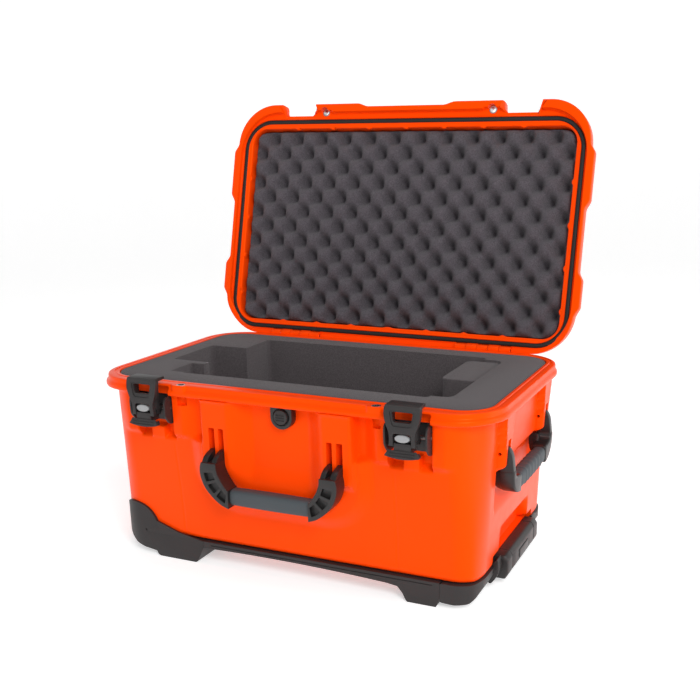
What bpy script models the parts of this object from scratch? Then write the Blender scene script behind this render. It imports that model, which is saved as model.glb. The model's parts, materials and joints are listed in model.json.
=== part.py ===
"""Hard equipment case: hinged lid, claw latches, three swing handles, wheels and pull handle.

Metres, +Z up. The case stands on its feet at Z = 0, X runs along its length
(wheels at -X, pull handle at +X) and -Y is the front. Heights inside the case
are measured from the rim, where the lid meets the base.
The lid stands open, every handle hangs down and the pull handle is pushed in.
"""
import math

import bmesh
import bpy
from mathutils import Matrix, Vector

# ---------------------------------------------------------------- driving dimensions
RIM_HEIGHT = 0.267            # top of the base rim above the floor
CASE_SHIFT_Y = -0.058         # puts the whole object's box, open lid included, over the origin
GAP = 0.0003                  # clearance between pieces that touch

CAVITY_X, CAVITY_Y = 0.2805, 0.1625       # half sizes of the mouth of the base
WALL = 0.0035
DRAFT = math.radians(0.8)
CORNER_R = 0.042
BODY_DEPTH = 0.228                        # rim to the underside of the moulded tub
FLOOR_THICK = 0.004

FLANGE_X, FLANGE_FRONT, FLANGE_BACK = 0.300, -0.188, 0.178
FLANGE_R = 0.070
FLANGE_LOW, FLANGE_STEP = 0.016, 0.008    # depth of the flange, depth of its upper tier
TIER_INSET = 0.0035

LID_X, LID_FRONT, LID_BACK = 0.303, -0.199, 0.185
LID_HEIGHT = 0.057
LID_RIM = 0.014
LID_R = 0.066
LID_OPEN = math.radians(104.5)
SEAL_PLANE = 0.0015                       # lid land above the base rim when shut
CLAW_SEAT = 0.0040                        # ledge of the lid that a latched claw pulls on
HINGE_Y, HINGE_R, HINGE_PIN_R = 0.183, 0.0065, 0.0025
HINGE_X, HINGE_STEP = 0.165, 0.018

GASKET_X, GASKET_Y, GASKET_W, GASKET_R = 0.2910, 0.1720, 0.0060, 0.046

LATCH_X = 0.190
BAY_HALF = 0.0293
LATCH_PIN = (-0.181, -0.034)              # y and height of the lever's pivot
CLAW_PIN = (-0.191, -0.036)               # y and height of the claw's pivot
EYELET_X, EYELET_Y = 0.1445, -0.1795

PILLAR_IN, PILLAR_OUT, PILLAR_Y = 0.074, 0.112, -0.1875
SLOTS = ((0.0770, 0.0850), (0.0910, 0.1000))
FRONT_PIVOT = (-0.1800, -0.0900)          # y and height of the front handle's pins
VALVE_X = 0.0085
GRIP_HALF = 0.062

POST_Y, POST_X = 0.0935, 0.2950
SIDE_PIVOT = (0.2860, -0.0690)            # x and height of the side handles' pins
POCKET_X = 0.2680                         # floor of the hand pocket behind a side handle

SKID_X, SKID_Y, SKID_R = 0.2835, 0.1675, 0.044
WHEEL = (-0.2500, -0.2280)                # x and height of the wheel axis
WHEEL_R, HUB_R, BUSH_R, AXLE_R = 0.0340, 0.0215, 0.0065, 0.0040
WHEEL_IN, WHEEL_OUT = 0.1120, 0.1360
ARCH_R = 0.0405

TUBE_Y, TUBE_Z = 0.052, -0.2400
PULL_HALF_Y = 0.0755

COLOURS = {
    "orange_shell": ((1.0, 0.076, 0.0), 0.32, 0.0),
    "dark_plastic": ((0.045, 0.043, 0.042), 0.45, 0.0),
    "black_plastic": ((0.012, 0.012, 0.013), 0.40, 0.0),
    "soft_grip": ((0.090, 0.107, 0.122), 0.60, 0.0),
    "base_foam": ((0.080, 0.072, 0.074), 0.95, 0.0),
    "lid_foam": ((0.050, 0.045, 0.050), 0.95, 0.0),
    "seal_rubber": ((0.010, 0.010, 0.010), 0.70, 0.0),
    "steel": ((0.60, 0.60, 0.60), 0.30, 1.0),
    "button_grey": ((0.42, 0.42, 0.42), 0.40, 0.0),
    "tyre_rubber": ((0.015, 0.015, 0.015), 0.80, 0.0),
    "alloy": ((0.55, 0.56, 0.58), 0.35, 1.0),
}


# ---------------------------------------------------------------- scene set-up
def clear_scene():
    for obj in list(bpy.data.objects):
        bpy.data.objects.remove(obj, do_unlink=True)


def make_collection(name, parent):
    collection = bpy.data.collections.new(name)
    parent.children.link(collection)
    return collection


def make_materials():
    for name, (colour, roughness, metallic) in COLOURS.items():
        material = bpy.data.materials.new(name)
        material.use_nodes = True
        shader = material.node_tree.nodes["Principled BSDF"]
        shader.inputs["Base Color"].default_value = (*colour, 1.0)
        shader.inputs["Roughness"].default_value = roughness
        shader.inputs["Metallic"].default_value = metallic
        material.diffuse_color = (*colour, 1.0)


def rz(depth):
    """World height of a level given from the rim."""
    return RIM_HEIGHT + depth


clear_scene()
CASE = make_collection("equipment_case", bpy.context.scene.collection)
CUTTERS = make_collection("cutters", bpy.context.scene.collection)
make_materials()


# ---------------------------------------------------------------- shape helpers
def add_object(name, bm, collection=CUTTERS):
    mesh = bpy.data.meshes.new(name)
    bm.to_mesh(mesh)
    bm.free()
    obj = bpy.data.objects.new(name, mesh)
    collection.objects.link(obj)
    return obj


def box(name, low, high):
    """Axis-aligned block between two corners."""
    low, high = Vector(low), Vector(high)
    bm = bmesh.new()
    size = Matrix.Diagonal((high - low).to_4d())
    size[3][3] = 1.0
    bmesh.ops.create_cube(bm, size=1.0, matrix=Matrix.Translation((low + high) / 2) @ size)
    return add_object(name, bm)


def slab(name, half_x, y_low, y_high, z_low, z_high, radius, shrink=0.0, segments=7, foot=0.0):
    """Rounded-corner block; its bottom is smaller by shrink all round, foot rounds the bottom."""
    bm = bmesh.new()
    bmesh.ops.create_cube(bm, size=2.0)
    centre_y, half_y = (y_low + y_high) / 2, (y_high - y_low) / 2
    for vert in bm.verts:
        inset = shrink if vert.co.z < 0 else 0.0
        z = z_high if vert.co.z > 0 else z_low
        vert.co = (vert.co.x * (half_x - inset), centre_y + vert.co.y * (half_y - inset), z)
    upright = [e for e in bm.edges if abs(e.verts[0].co.z - e.verts[1].co.z) > 1e-6]
    bmesh.ops.bevel(bm, geom=upright, offset=radius, segments=segments, profile=0.5, affect="EDGES")
    if foot > 0:
        rim = [e for e in bm.edges if all(abs(v.co.z - z_low) < 1e-6 for v in e.verts)]
        bmesh.ops.bevel(bm, geom=rim, offset=foot, segments=3, profile=0.5, affect="EDGES")
    return add_object(name, bm)


def rod(name, radius, start, end, sides=24):
    """Solid cylinder from start to end."""
    start, end = Vector(start), Vector(end)
    along = end - start
    turn = along.to_track_quat("Z", "Y").to_matrix().to_4x4()
    bm = bmesh.new()
    bmesh.ops.create_cone(bm, cap_ends=True, segments=sides, radius1=radius, radius2=radius,
                          depth=along.length, matrix=Matrix.Translation((start + end) / 2) @ turn)
    return add_object(name, bm)


def extrude_outline(name, points, axis, low, high):
    """Flat outline pushed from low to high along X, Y or Z; points are in the other two axes."""
    bm = bmesh.new()
    place = {"X": lambda a, b, c: (c, a, b), "Y": lambda a, b, c: (a, c, b),
             "Z": lambda a, b, c: (a, b, c)}[axis]
    face = bm.faces.new([bm.verts.new(place(a, b, low)) for a, b in points])
    pushed = bmesh.ops.extrude_face_region(bm, geom=[face])
    shift = Vector(place(0.0, 0.0, high - low))
    bmesh.ops.translate(bm, vec=shift, verts=[g for g in pushed["geom"] if isinstance(g, bmesh.types.BMVert)])
    bmesh.ops.recalc_face_normals(bm, faces=bm.faces)
    return add_object(name, bm)


def arc(centre, radius, start, end, steps):
    """Points on an arc, angles in degrees."""
    angles = [math.radians(start + (end - start) * i / steps) for i in range(steps + 1)]
    return [(centre[0] + radius * math.cos(t), centre[1] + radius * math.sin(t)) for t in angles]


def turned_ring(name, inner, outer, low, high, chamfer, sides=32):
    """Ring about the Y axis, turned from a profile, between two distances along Y."""
    half = (high - low) / 2
    profile = [(outer - chamfer, half), (outer, half - chamfer), (outer, chamfer - half),
               (outer - chamfer, -half), (inner, -half), (inner, half)]
    bm = bmesh.new()
    verts = [bm.verts.new((x, 0.0, z)) for x, z in profile]
    for first, second in zip(verts, verts[1:] + verts[:1]):
        bm.edges.new((first, second))
    ring = add_object(name, bm)
    screw = ring.modifiers.new("Turn", "SCREW")
    screw.steps = screw.render_steps = sides
    screw.use_merge_vertices = True
    screw.merge_threshold = 0.00001
    ring.rotation_euler = (math.pi / 2, 0.0, 0.0)
    ring.location = (0.0, (low + high) / 2, 0.0)
    return ring


def combine(target, operation, pieces):
    """Add, remove or keep the common part of several solids, which then follow the target."""
    group = make_collection(f"{target.name}_{operation.lower()}", CUTTERS)
    for piece in pieces:
        for owner in list(piece.users_collection):
            owner.objects.unlink(piece)
        group.objects.link(piece)
        piece.parent = target
        piece.hide_render = True
        piece.display_type = "WIRE"
    modifier = target.modifiers.new(operation.title(), "BOOLEAN")
    modifier.operation = operation
    modifier.solver = "EXACT"
    modifier.operand_type = "COLLECTION"
    modifier.collection = group
    return target


def axis_empty(name, pivot, parent=None):
    """Empty on a joint's axis; pivot is in the case's own coordinates."""
    empty = bpy.data.objects.new(name, None)
    empty.empty_display_size = 0.02
    CASE.objects.link(empty)
    empty["pivot"] = pivot
    if parent:
        empty.parent = parent
        empty.location = Vector(pivot) - Vector(parent["pivot"])
    return empty


def finish(obj, name, material, parent, smooth=False):
    """Turn a working solid, made in the case's coordinates, into a named part."""
    for owner in list(obj.users_collection):
        owner.objects.unlink(obj)
    CASE.objects.link(obj)
    obj.name = name
    obj.data.name = name
    obj.data.materials.append(bpy.data.materials[material])
    if smooth:
        obj.data.shade_smooth()
        obj.data.set_sharp_from_angle(angle=math.radians(35))
    obj.parent = parent
    obj.matrix_basis = Matrix.Translation(-Vector(parent["pivot"])) @ obj.matrix_basis
    return obj


def mirrored(side, low, high):
    """A range along X or Y on the side +1 or -1, lowest first."""
    return (low, high) if side > 0 else (-high, -low)


# ---------------------------------------------------------------- joints and frame
FRAME = axis_empty("case_frame", (0.0, 0.0, 0.0))
FRAME.location = (0.0, CASE_SHIFT_Y, 0.0)
LID = axis_empty("lid_axis", (0.0, HINGE_Y, rz(0.0)), FRAME)
LID.rotation_euler = (-LID_OPEN, 0.0, 0.0)


# ---------------------------------------------------------------- base
def hinge_spans(first):
    """Spans along X of every other knuckle, from the first one out."""
    spans = []
    for side in (-1, 1):
        for slot in range(first, 5, 2):
            middle = side * HINGE_X + (slot - 2) * HINGE_STEP
            spans.append((middle - HINGE_STEP / 2 + 0.0004, middle + HINGE_STEP / 2 - 0.0004))
    return spans


def inner_blocks(grow):
    """Blocks that stand into the cavity behind the outside pockets, grown by a clearance."""
    blocks = []
    for side in (-1, 1):
        x_low, x_high = mirrored(side, POCKET_X - WALL - grow, 0.290)
        blocks.append(box("hand_block", (x_low, -0.1085 - grow, rz(-0.153 - grow)),
                          (x_high, 0.1085 + grow, rz(-0.087 + grow))))
        y_low, y_high = mirrored(side, 0.0950 - grow, 0.172)
        blocks.append(box("wheel_block", (-0.290, y_low, rz(-0.2280)),
                          (-0.2055 + grow, y_high, rz(-0.1835 + grow))))
    blocks.append(box("pull_block", (0.2585 - grow, -0.0980 - grow, rz(-0.2280)),
                      (0.290, 0.0980 + grow, rz(-0.1930 + grow))))
    return blocks


def cavity_slab(name, trim, top):
    """Inside of the tub, trimmed all round."""
    depth = BODY_DEPTH - FLOOR_THICK - trim
    return slab(name, CAVITY_X - trim, -CAVITY_Y + trim, CAVITY_Y - trim, rz(-depth), rz(top),
                CORNER_R - trim, shrink=depth * math.tan(DRAFT))


def base_outside():
    """Solids that make the outside of the base: tub, two-step flange, pillars, ribs, posts, knuckles."""
    solids = [
        slab("flange_low", FLANGE_X, FLANGE_FRONT, FLANGE_BACK, rz(-FLANGE_LOW), rz(-FLANGE_STEP), FLANGE_R),
        slab("flange_top", FLANGE_X - TIER_INSET, FLANGE_FRONT + TIER_INSET, FLANGE_BACK - 0.001,
             rz(-FLANGE_STEP - 0.001), rz(0.0), FLANGE_R - TIER_INSET),
    ]
    for side in (-1, 1):
        x_low, x_high = mirrored(side, PILLAR_IN, PILLAR_OUT)
        solids.append(box("pillar", (x_low, PILLAR_Y, rz(-0.117)), (x_high, -0.160, rz(-0.015))))
        for inner, outer in ((0.1480, 0.1607), (0.2193, 0.2350)):
            x_low, x_high = mirrored(side, inner, outer)
            front = [(-0.160, rz(-0.015)), (-0.1865, rz(-0.015)), (-0.1840, rz(-0.070)),
                     (-0.160, rz(-0.096))]
            solids.append(extrude_outline("latch_rib", front, "X", x_low, x_high))
        boss = [(-0.160, rz(-0.066)), (-0.176, rz(-0.070)), (-0.174, rz(-0.086)), (-0.160, rz(-0.098))]
        solids.append(extrude_outline("latch_boss", boss, "X", *mirrored(side, 0.178, 0.202)))
        for end in (-1, 1):
            y_mid = end * POST_Y
            post = [(y_mid - 0.0195, rz(-0.012)), (y_mid - 0.0135, rz(-0.067)), (y_mid - 0.0135, rz(-0.092)),
                    (y_mid + 0.0135, rz(-0.092)), (y_mid + 0.0135, rz(-0.067)), (y_mid + 0.0195, rz(-0.012))]
            solids.append(extrude_outline("side_post", post, "X", *mirrored(side, 0.2700, POST_X)))
    for x_low, x_high in hinge_spans(0):
        solids.append(rod("knuckle", HINGE_R, (x_low, HINGE_Y, rz(0.0)), (x_high, HINGE_Y, rz(0.0)), 20))
        solids.append(box("knuckle_web", (x_low, 0.170, rz(-0.0155)), (x_high, HINGE_Y, rz(-0.0030))))
    return solids


def base_cuts():
    """Everything cut out of the base after its cavity: pockets, slots, bores and wheel arches."""
    cuts = []
    pin_y, pin_z = FRONT_PIVOT
    for side in (-1, 1):
        for inner, outer in SLOTS:
            x_low, x_high = mirrored(side, inner, outer)
            cuts.append(box("prong_slot", (x_low, -0.190, rz(-0.105)), (x_high, -0.1695, rz(-0.054))))
        cuts.append(rod("front_pin_bore", 0.0022, (side * (PILLAR_IN - 0.002), pin_y, rz(pin_z)),
                        (side * 0.1075, pin_y, rz(pin_z)), 16))
        middle = side * LATCH_X
        cuts.append(box("latch_notch", (middle - BAY_HALF, -0.195, rz(-0.0300)),
                        (middle + BAY_HALF, -0.1755, rz(-0.0025))))
        lever_y, lever_z = LATCH_PIN
        cuts.append(rod("latch_pin_bore", 0.0028, (middle - 0.0345, lever_y, rz(lever_z)),
                        (middle + 0.0345, lever_y, rz(lever_z)), 16))
        cuts.append(rod("padlock_hole", 0.0068, (side * EYELET_X, EYELET_Y, rz(-0.03)),
                        (side * EYELET_X, EYELET_Y, rz(0.01)), 20))
        x_low, x_high = mirrored(side, POCKET_X, 0.310)
        cuts.append(box("hand_pocket", (x_low, -0.1050, rz(-0.1495)), (x_high, 0.1050, rz(-0.0920))))
        x_low, x_high = mirrored(side, 0.2760, 0.310)
        for end in (-1, 1):
            cuts.append(box("tongue_slot", (x_low, end * POST_Y - 0.0060, rz(-0.097)),
                            (x_high, end * POST_Y + 0.0060, rz(-0.052))))
            cuts.append(rod("side_pin_bore", 0.0022,
                            (side * SIDE_PIVOT[0], end * POST_Y - 0.0100, rz(SIDE_PIVOT[1])),
                            (side * SIDE_PIVOT[0], end * POST_Y + 0.0145, rz(SIDE_PIVOT[1])), 16))
        arch_y = (side * 0.0985, side * 0.175)
        cuts.append(rod("wheel_arch", ARCH_R, (WHEEL[0], arch_y[0], rz(WHEEL[1])),
                        (WHEEL[0], arch_y[1], rz(WHEEL[1])), 40))
        y_low, y_high = mirrored(side, 0.0985, 0.175)
        cuts.append(box("arch_end", (-0.300, y_low, rz(-0.250)), (WHEEL[0], y_high, rz(-0.2040))))
    cuts.append(box("pull_pocket", (0.2620, -0.0640, rz(-0.250)), (0.310, 0.0640, rz(-0.1970))))
    cuts.append(box("pull_seat", (0.2620, -0.0935, rz(-0.250)), (0.310, 0.0935, rz(-0.2195))))
    cuts.append(rod("valve_hole", 0.0085, (VALVE_X, -0.190, rz(-0.0300)), (VALVE_X, -0.150, rz(-0.0300)), 20))
    for x_low, x_high in hinge_spans(0):
        cuts.append(rod("hinge_bore", HINGE_PIN_R + GAP, (x_low - 0.001, HINGE_Y, rz(0.0)),
                        (x_high + 0.001, HINGE_Y, rz(0.0)), 16))
    return cuts


def build_base_shell():
    shell = slab("tub", CAVITY_X + WALL, -CAVITY_Y - WALL, CAVITY_Y + WALL, rz(-BODY_DEPTH), rz(-0.004),
                 CORNER_R + WALL, shrink=BODY_DEPTH * math.tan(DRAFT), foot=0.008)
    combine(shell, "UNION", base_outside())
    cavity = combine(cavity_slab("cavity", 0.0, 0.010), "DIFFERENCE", inner_blocks(0.0))
    combine(shell, "DIFFERENCE", [cavity, *base_cuts()])
    finish(shell, "base_shell", "orange_shell", FRAME, smooth=True)


def build_base_foam():
    """Foam insert with the pockets of its load cut in from the top."""
    foam = cavity_slab("foam", 0.0008, 0.0)
    stepped = [(-0.206, -0.116), (-0.186, -0.116), (-0.186, -0.064), (-0.206, -0.064)]
    side_notch = [(-0.248, -0.050), (-0.180, -0.050), (-0.180, 0.056), (-0.248, 0.056)]
    cuts = inner_blocks(0.0008)
    cuts.append(box("load_pocket", (-0.185, -0.119, rz(-0.150)), (0.190, 0.125, rz(0.010))))
    cuts.append(extrude_outline("finger_notch", stepped, "Z", rz(-0.050), rz(0.010)))
    cuts.append(extrude_outline("hand_notch", side_notch, "Z", rz(-0.050), rz(0.010)))
    cuts.append(slab("small_pocket", 0.034, -0.110, 0.114, rz(-0.150), rz(0.010), 0.014, segments=4))
    cuts[-1].location = (0.185, 0.0, 0.0)
    combine(foam, "DIFFERENCE", cuts)
    finish(foam, "base_foam", "base_foam", FRAME)
    divider = slab("divider", 0.0272, -0.006, 0.1135, rz(-0.1495), rz(-0.0035), 0.014, segments=4)
    divider.location = (0.1912, 0.0, 0.0)
    finish(divider, "foam_divider", "base_foam", FRAME)


def build_valve():
    """Pressure valve: tongue-shaped plate on the front wall and its round cap."""
    x_mid = VALVE_X
    outline = [(x_mid - 0.0185, rz(-0.0170)), *arc((x_mid, rz(-0.0310)), 0.0185, 180, 360, 12),
               (x_mid + 0.0185, rz(-0.0170))]
    wall = -CAVITY_Y - WALL
    plate = extrude_outline("plate", outline, "Y", wall - 0.0075, wall - GAP)
    stem = rod("stem", 0.0080, (x_mid, wall - 0.001, rz(-0.030)), (x_mid, wall + 0.0030, rz(-0.030)), 20)
    combine(plate, "UNION", [stem])
    finish(plate, "valve_body", "black_plastic", FRAME)
    cap = rod("cap", 0.0115, (x_mid, wall - 0.0130, rz(-0.030)), (x_mid, wall - 0.0078, rz(-0.030)), 28)
    finish(cap, "valve_cap", "dark_plastic", FRAME, smooth=True)


def bushing(x, y, low, high):
    """Thin steel sleeve in a padlock hole, along Z."""
    sleeve = turned_ring("sleeve", 0.0045, 0.0065, low, high, 0.0006, sides=20)
    sleeve.rotation_euler = (0.0, 0.0, 0.0)
    sleeve.location = (x, y, (low + high) / 2)
    return sleeve


def build_eyelets():
    for side, word in ((-1, "left"), (1, "right")):
        sleeve = bushing(side * EYELET_X, EYELET_Y, rz(-0.0158), rz(-0.0002))
        finish(sleeve, f"base_eyelet_{word}", "steel", FRAME, smooth=True)
        sleeve = bushing(side * EYELET_X, EYELET_Y - 0.0075, rz(SEAL_PLANE + 0.0005), rz(LID_RIM - 0.0005))
        finish(sleeve, f"lid_eyelet_{word}", "steel", LID, smooth=True)


def build_hinge_pins():
    for side, word in ((-1, "left"), (1, "right")):
        half = HINGE_STEP * 2.5 - 0.0006
        middle = side * HINGE_X
        pin = rod("pin", HINGE_PIN_R, (middle - half, HINGE_Y, rz(0.0)), (middle + half, HINGE_Y, rz(0.0)), 16)
        finish(pin, f"hinge_pin_{word}", "steel", FRAME, smooth=True)


# ---------------------------------------------------------------- lid
def lid_outline_cuts():
    """Dip at the middle of the lid's lip and a notch for each latch."""
    cuts = []
    dip = [(-0.084, -0.205), (0.084, -0.205), (0.071, -0.1935), (-0.071, -0.1935)]
    cuts.append(extrude_outline("lip_dip", dip, "Z", rz(-0.02), rz(0.0200)))
    for side in (-1, 1):
        middle = side * 0.1925
        notch = [(middle - 0.0300, -0.205), (middle - 0.0275, -0.1815), (middle + 0.0275, -0.1815),
                 (middle + 0.0300, -0.205)]
        cuts.append(extrude_outline("latch_gap", notch, "Z", rz(-0.02), rz(0.0200)))
        cuts.append(box("claw_seat", (middle - 0.0275, -0.205, rz(CLAW_SEAT)), (middle + 0.0275, -0.1765, rz(0.0200))))
    return cuts


def build_lid_shell():
    """Lid as it lies shut on the rim; its parent turns it open."""
    lid = slab("lid", LID_X, LID_FRONT, LID_BACK, rz(-FLANGE_STEP + 0.0006), rz(LID_RIM), LID_R)
    dome = slab("dome", 0.2960, -0.1860, 0.1760, rz(LID_RIM - 0.002), rz(LID_HEIGHT), 0.058, shrink=0.0)
    for vert in dome.data.vertices:
        if vert.co.z > rz(LID_HEIGHT) - 1e-5:
            vert.co.x *= 0.985
            vert.co.y *= 0.975
    bevel = dome.modifiers.new("Top edge", "BEVEL")
    bevel.width = 0.009
    bevel.segments = 2
    bevel.limit_method = "ANGLE"
    bevel.angle_limit = math.radians(60)
    knuckles = []
    for x_low, x_high in hinge_spans(1):
        knuckles.append(rod("knuckle", HINGE_R, (x_low, HINGE_Y, rz(0.0)), (x_high, HINGE_Y, rz(0.0)), 20))
        knuckles.append(box("knuckle_web", (x_low, 0.1720, rz(0.0030)), (x_high, HINGE_Y, rz(0.0120))))
    bumps = []
    for side in (-1, 1):
        for y_low, y_high in ((-0.127, -0.042), (0.063, 0.118)):
            x_low, x_high = mirrored(side, 0.2950, 0.3105)
            bumps.append(slab("side_bump", 0.0075, y_low, y_high, rz(-0.0070), rz(LID_RIM - 0.0010),
                              0.005, segments=3))
            bumps[-1].location = ((x_low + x_high) / 2, 0.0, 0.0)
    combine(lid, "UNION", [dome, *knuckles, *bumps])
    inside_y = CAVITY_Y - 0.0015
    hollow = slab("hollow", 0.2800, -inside_y, inside_y, rz(-0.010), rz(LID_HEIGHT - WALL), 0.040)
    seat = slab("rim_seat", FLANGE_X - TIER_INSET + 0.0012, FLANGE_FRONT + TIER_INSET - 0.0012, 0.250,
                rz(-0.020), rz(SEAL_PLANE), FLANGE_R - TIER_INSET)
    groove = slab("groove_outer", GASKET_X + GASKET_W / 2 + GAP, -GASKET_Y - GASKET_W / 2 - GAP,
                  GASKET_Y + GASKET_W / 2 + GAP, rz(-0.010), rz(0.0060), GASKET_R + GASKET_W / 2 + GAP)
    island = slab("groove_inner", GASKET_X - GASKET_W / 2 - GAP, -GASKET_Y + GASKET_W / 2 + GAP,
                  GASKET_Y - GASKET_W / 2 - GAP, rz(-0.020), rz(0.0080), GASKET_R - GASKET_W / 2 - GAP)
    combine(groove, "DIFFERENCE", [island])
    cuts = [hollow, seat, groove, *lid_outline_cuts()]
    for side in (-1, 1):
        y = EYELET_Y - 0.0075
        cuts.append(rod("padlock_hole", 0.0068, (side * EYELET_X, y, rz(-0.01)),
                        (side * EYELET_X, y, rz(0.0195)), 20))
    for x_low, x_high in hinge_spans(1):
        cuts.append(rod("hinge_bore", HINGE_PIN_R + GAP, (x_low - 0.001, HINGE_Y, rz(0.0)),
                        (x_high + 0.001, HINGE_Y, rz(0.0)), 16))
    for x_low, x_high in hinge_spans(0):
        cuts.append(box("knuckle_room", (x_low - GAP, 0.1740, rz(-0.0100)),
                        (x_high + GAP, 0.1950, rz(HINGE_R + 0.0006))))
    combine(lid, "DIFFERENCE", cuts)
    finish(lid, "lid_shell", "orange_shell", LID, smooth=True)


def build_gasket():
    gasket = slab("gasket", GASKET_X + GASKET_W / 2, -GASKET_Y - GASKET_W / 2, GASKET_Y + GASKET_W / 2,
                  rz(0.0005), rz(0.0057), GASKET_R + GASKET_W / 2)
    hole = slab("gasket_hole", GASKET_X - GASKET_W / 2, -GASKET_Y + GASKET_W / 2,
                GASKET_Y - GASKET_W / 2, rz(-0.010), rz(0.020), GASKET_R - GASKET_W / 2)
    combine(gasket, "DIFFERENCE", [hole])
    finish(gasket, "lid_gasket", "seal_rubber", LID)


def build_lid_foam():
    foam = slab("foam", 0.2785, -0.1590, 0.1590, rz(0.0140), rz(LID_HEIGHT - WALL - GAP), 0.038, segments=4)
    finish(foam, "lid_foam", "lid_foam", LID)


# ---------------------------------------------------------------- latches
def build_latch(side, word):
    """Draw latch: lever on a bracket's pin, claw on the lever, push button in the lever."""
    mid = side * LATCH_X
    lever_y, lever_z = LATCH_PIN
    claw_y, claw_z = CLAW_PIN
    lever_axis = axis_empty(f"latch_lever_axis_{word}", (mid, lever_y, rz(lever_z)), FRAME)
    claw_axis = axis_empty(f"latch_claw_axis_{word}", (mid, claw_y, rz(claw_z)), lever_axis)
    button_axis = axis_empty(f"latch_button_axis_{word}", (mid, -0.207, rz(-0.031)), lever_axis)

    bracket = box("bracket", (mid - 0.0289, -0.1955, rz(-0.0560)), (mid + 0.0289, -0.1665, rz(-0.0164)))
    combine(bracket, "DIFFERENCE", [
        box("bracket_gap", (mid - 0.0264, -0.210, rz(-0.070)), (mid + 0.0264, -0.1690, rz(0.0))),
        box("under_flange", (mid - 0.0300, -0.210, rz(-0.0175)), (mid + 0.0300, -0.1880, rz(0.0))),
        rod("pin_bore", HINGE_PIN_R + GAP, (mid - 0.030, lever_y, rz(lever_z)),
            (mid + 0.030, lever_y, rz(lever_z)), 16)])
    finish(bracket, f"latch_bracket_{word}", "dark_plastic", FRAME)
    pin = rod("pin", HINGE_PIN_R, (mid - 0.0338, lever_y, rz(lever_z)), (mid + 0.0338, lever_y, rz(lever_z)), 16)
    finish(pin, f"latch_pin_{word}", "steel", FRAME, smooth=True)

    lip = [(mid - 0.0180, rz(-0.0400)), (mid - 0.0250, rz(-0.0530)), *arc((mid, rz(0.0330)), 0.0895, 254, 286, 6),
           (mid + 0.0250, rz(-0.0530)), (mid + 0.0180, rz(-0.0400))]
    lever = extrude_outline("lever", lip, "Y", -0.2050, -0.1990)
    combine(lever, "UNION", [
        box("lever_web", (mid - 0.0110, -0.2000, rz(-0.0500)), (mid + 0.0110, -0.1860, rz(-0.0395))),
        box("lever_block", (mid - 0.0110, -0.1955, rz(-0.0440)), (mid + 0.0110, -0.1810, rz(-0.0290))),
        rod("lever_barrel", 0.0055, (mid - 0.0110, lever_y, rz(lever_z)), (mid + 0.0110, lever_y, rz(lever_z)), 20)])
    combine(lever, "DIFFERENCE", [
        rod("pin_bore", HINGE_PIN_R + GAP, (mid - 0.02, lever_y, rz(lever_z)), (mid + 0.02, lever_y, rz(lever_z)), 16),
        rod("claw_bore", 0.0018 + GAP, (mid - 0.02, claw_y, rz(claw_z)), (mid + 0.02, claw_y, rz(claw_z)), 16)])
    finish(lever, f"latch_lever_{word}", "dark_plastic", lever_axis)
    pin = rod("pin", 0.0018, (mid - 0.0178, claw_y, rz(claw_z)), (mid + 0.0178, claw_y, rz(claw_z)), 16)
    finish(pin, f"latch_claw_pin_{word}", "steel", lever_axis, smooth=True)

    face = [(mid - 0.0190, rz(-0.0235)), (mid - 0.0195, rz(-0.0210)), (mid - 0.0250, rz(-0.0080)),
            (mid - 0.0258, rz(0.0085)), (mid - 0.0235, rz(0.0108)), (mid + 0.0235, rz(0.0108)),
            (mid + 0.0258, rz(0.0085)), (mid + 0.0250, rz(-0.0080)), (mid + 0.0195, rz(-0.0210)),
            (mid + 0.0190, rz(-0.0235)), (mid + 0.0118, rz(-0.0235)), (mid + 0.0118, rz(-0.0178)),
            (mid - 0.0118, rz(-0.0178)), (mid - 0.0118, rz(-0.0235))]
    claw = extrude_outline("claw", face, "Y", -0.2070, -0.2005)
    hook = box("claw_hook", (mid - 0.0225, -0.2010, rz(0.0068)), (mid + 0.0225, -0.1828, rz(0.0106)))
    arms = []
    for end in (-1, 1):
        x_low, x_high = mirrored(end, 0.0118, 0.0175)
        arm = [(-0.2020, rz(-0.0205)), (-0.2020, rz(-0.0235)), (-0.1960, rz(-0.0395)), (-0.1905, rz(-0.0400)),
               (-0.1875, rz(-0.0360)), (-0.1895, rz(-0.0320)), (-0.1945, rz(-0.0205))]
        arms.append(extrude_outline("claw_arm", arm, "X", mid + x_low, mid + x_high))
    combine(claw, "UNION", [hook, *arms])
    combine(claw, "DIFFERENCE", [
        slab("claw_window", 0.0135, -0.0060, 0.0060, -0.010, 0.010, 0.003, segments=3),
        rod("claw_bore", 0.0018 + GAP, (mid - 0.02, claw_y, rz(claw_z)), (mid + 0.02, claw_y, rz(claw_z)), 16)])
    window = bpy.data.objects["claw_window"]
    window.name = f"claw_window_{word}"
    window.rotation_euler = (math.pi / 2, 0.0, 0.0)
    window.location = (mid, -0.2035, rz(-0.0050))
    finish(claw, f"latch_claw_{word}", "dark_plastic", claw_axis)

    oval = [*arc((mid + 0.0050, rz(-0.0310)), 0.0048, -90, 90, 6), *arc((mid - 0.0050, rz(-0.0310)), 0.0048, 90, 270, 6)]
    button = extrude_outline("button", oval, "Y", -0.2070, -0.1990)
    finish(button, f"latch_button_{word}", "button_grey", button_axis)


# ---------------------------------------------------------------- swing handles
def handle_arm(name, inner, outer, low, high, axis="Y"):
    """One curved arm of a handle, cut from a plate between its inner and outer outline."""
    return extrude_outline(name, inner + outer[::-1], axis, low, high)


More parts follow.
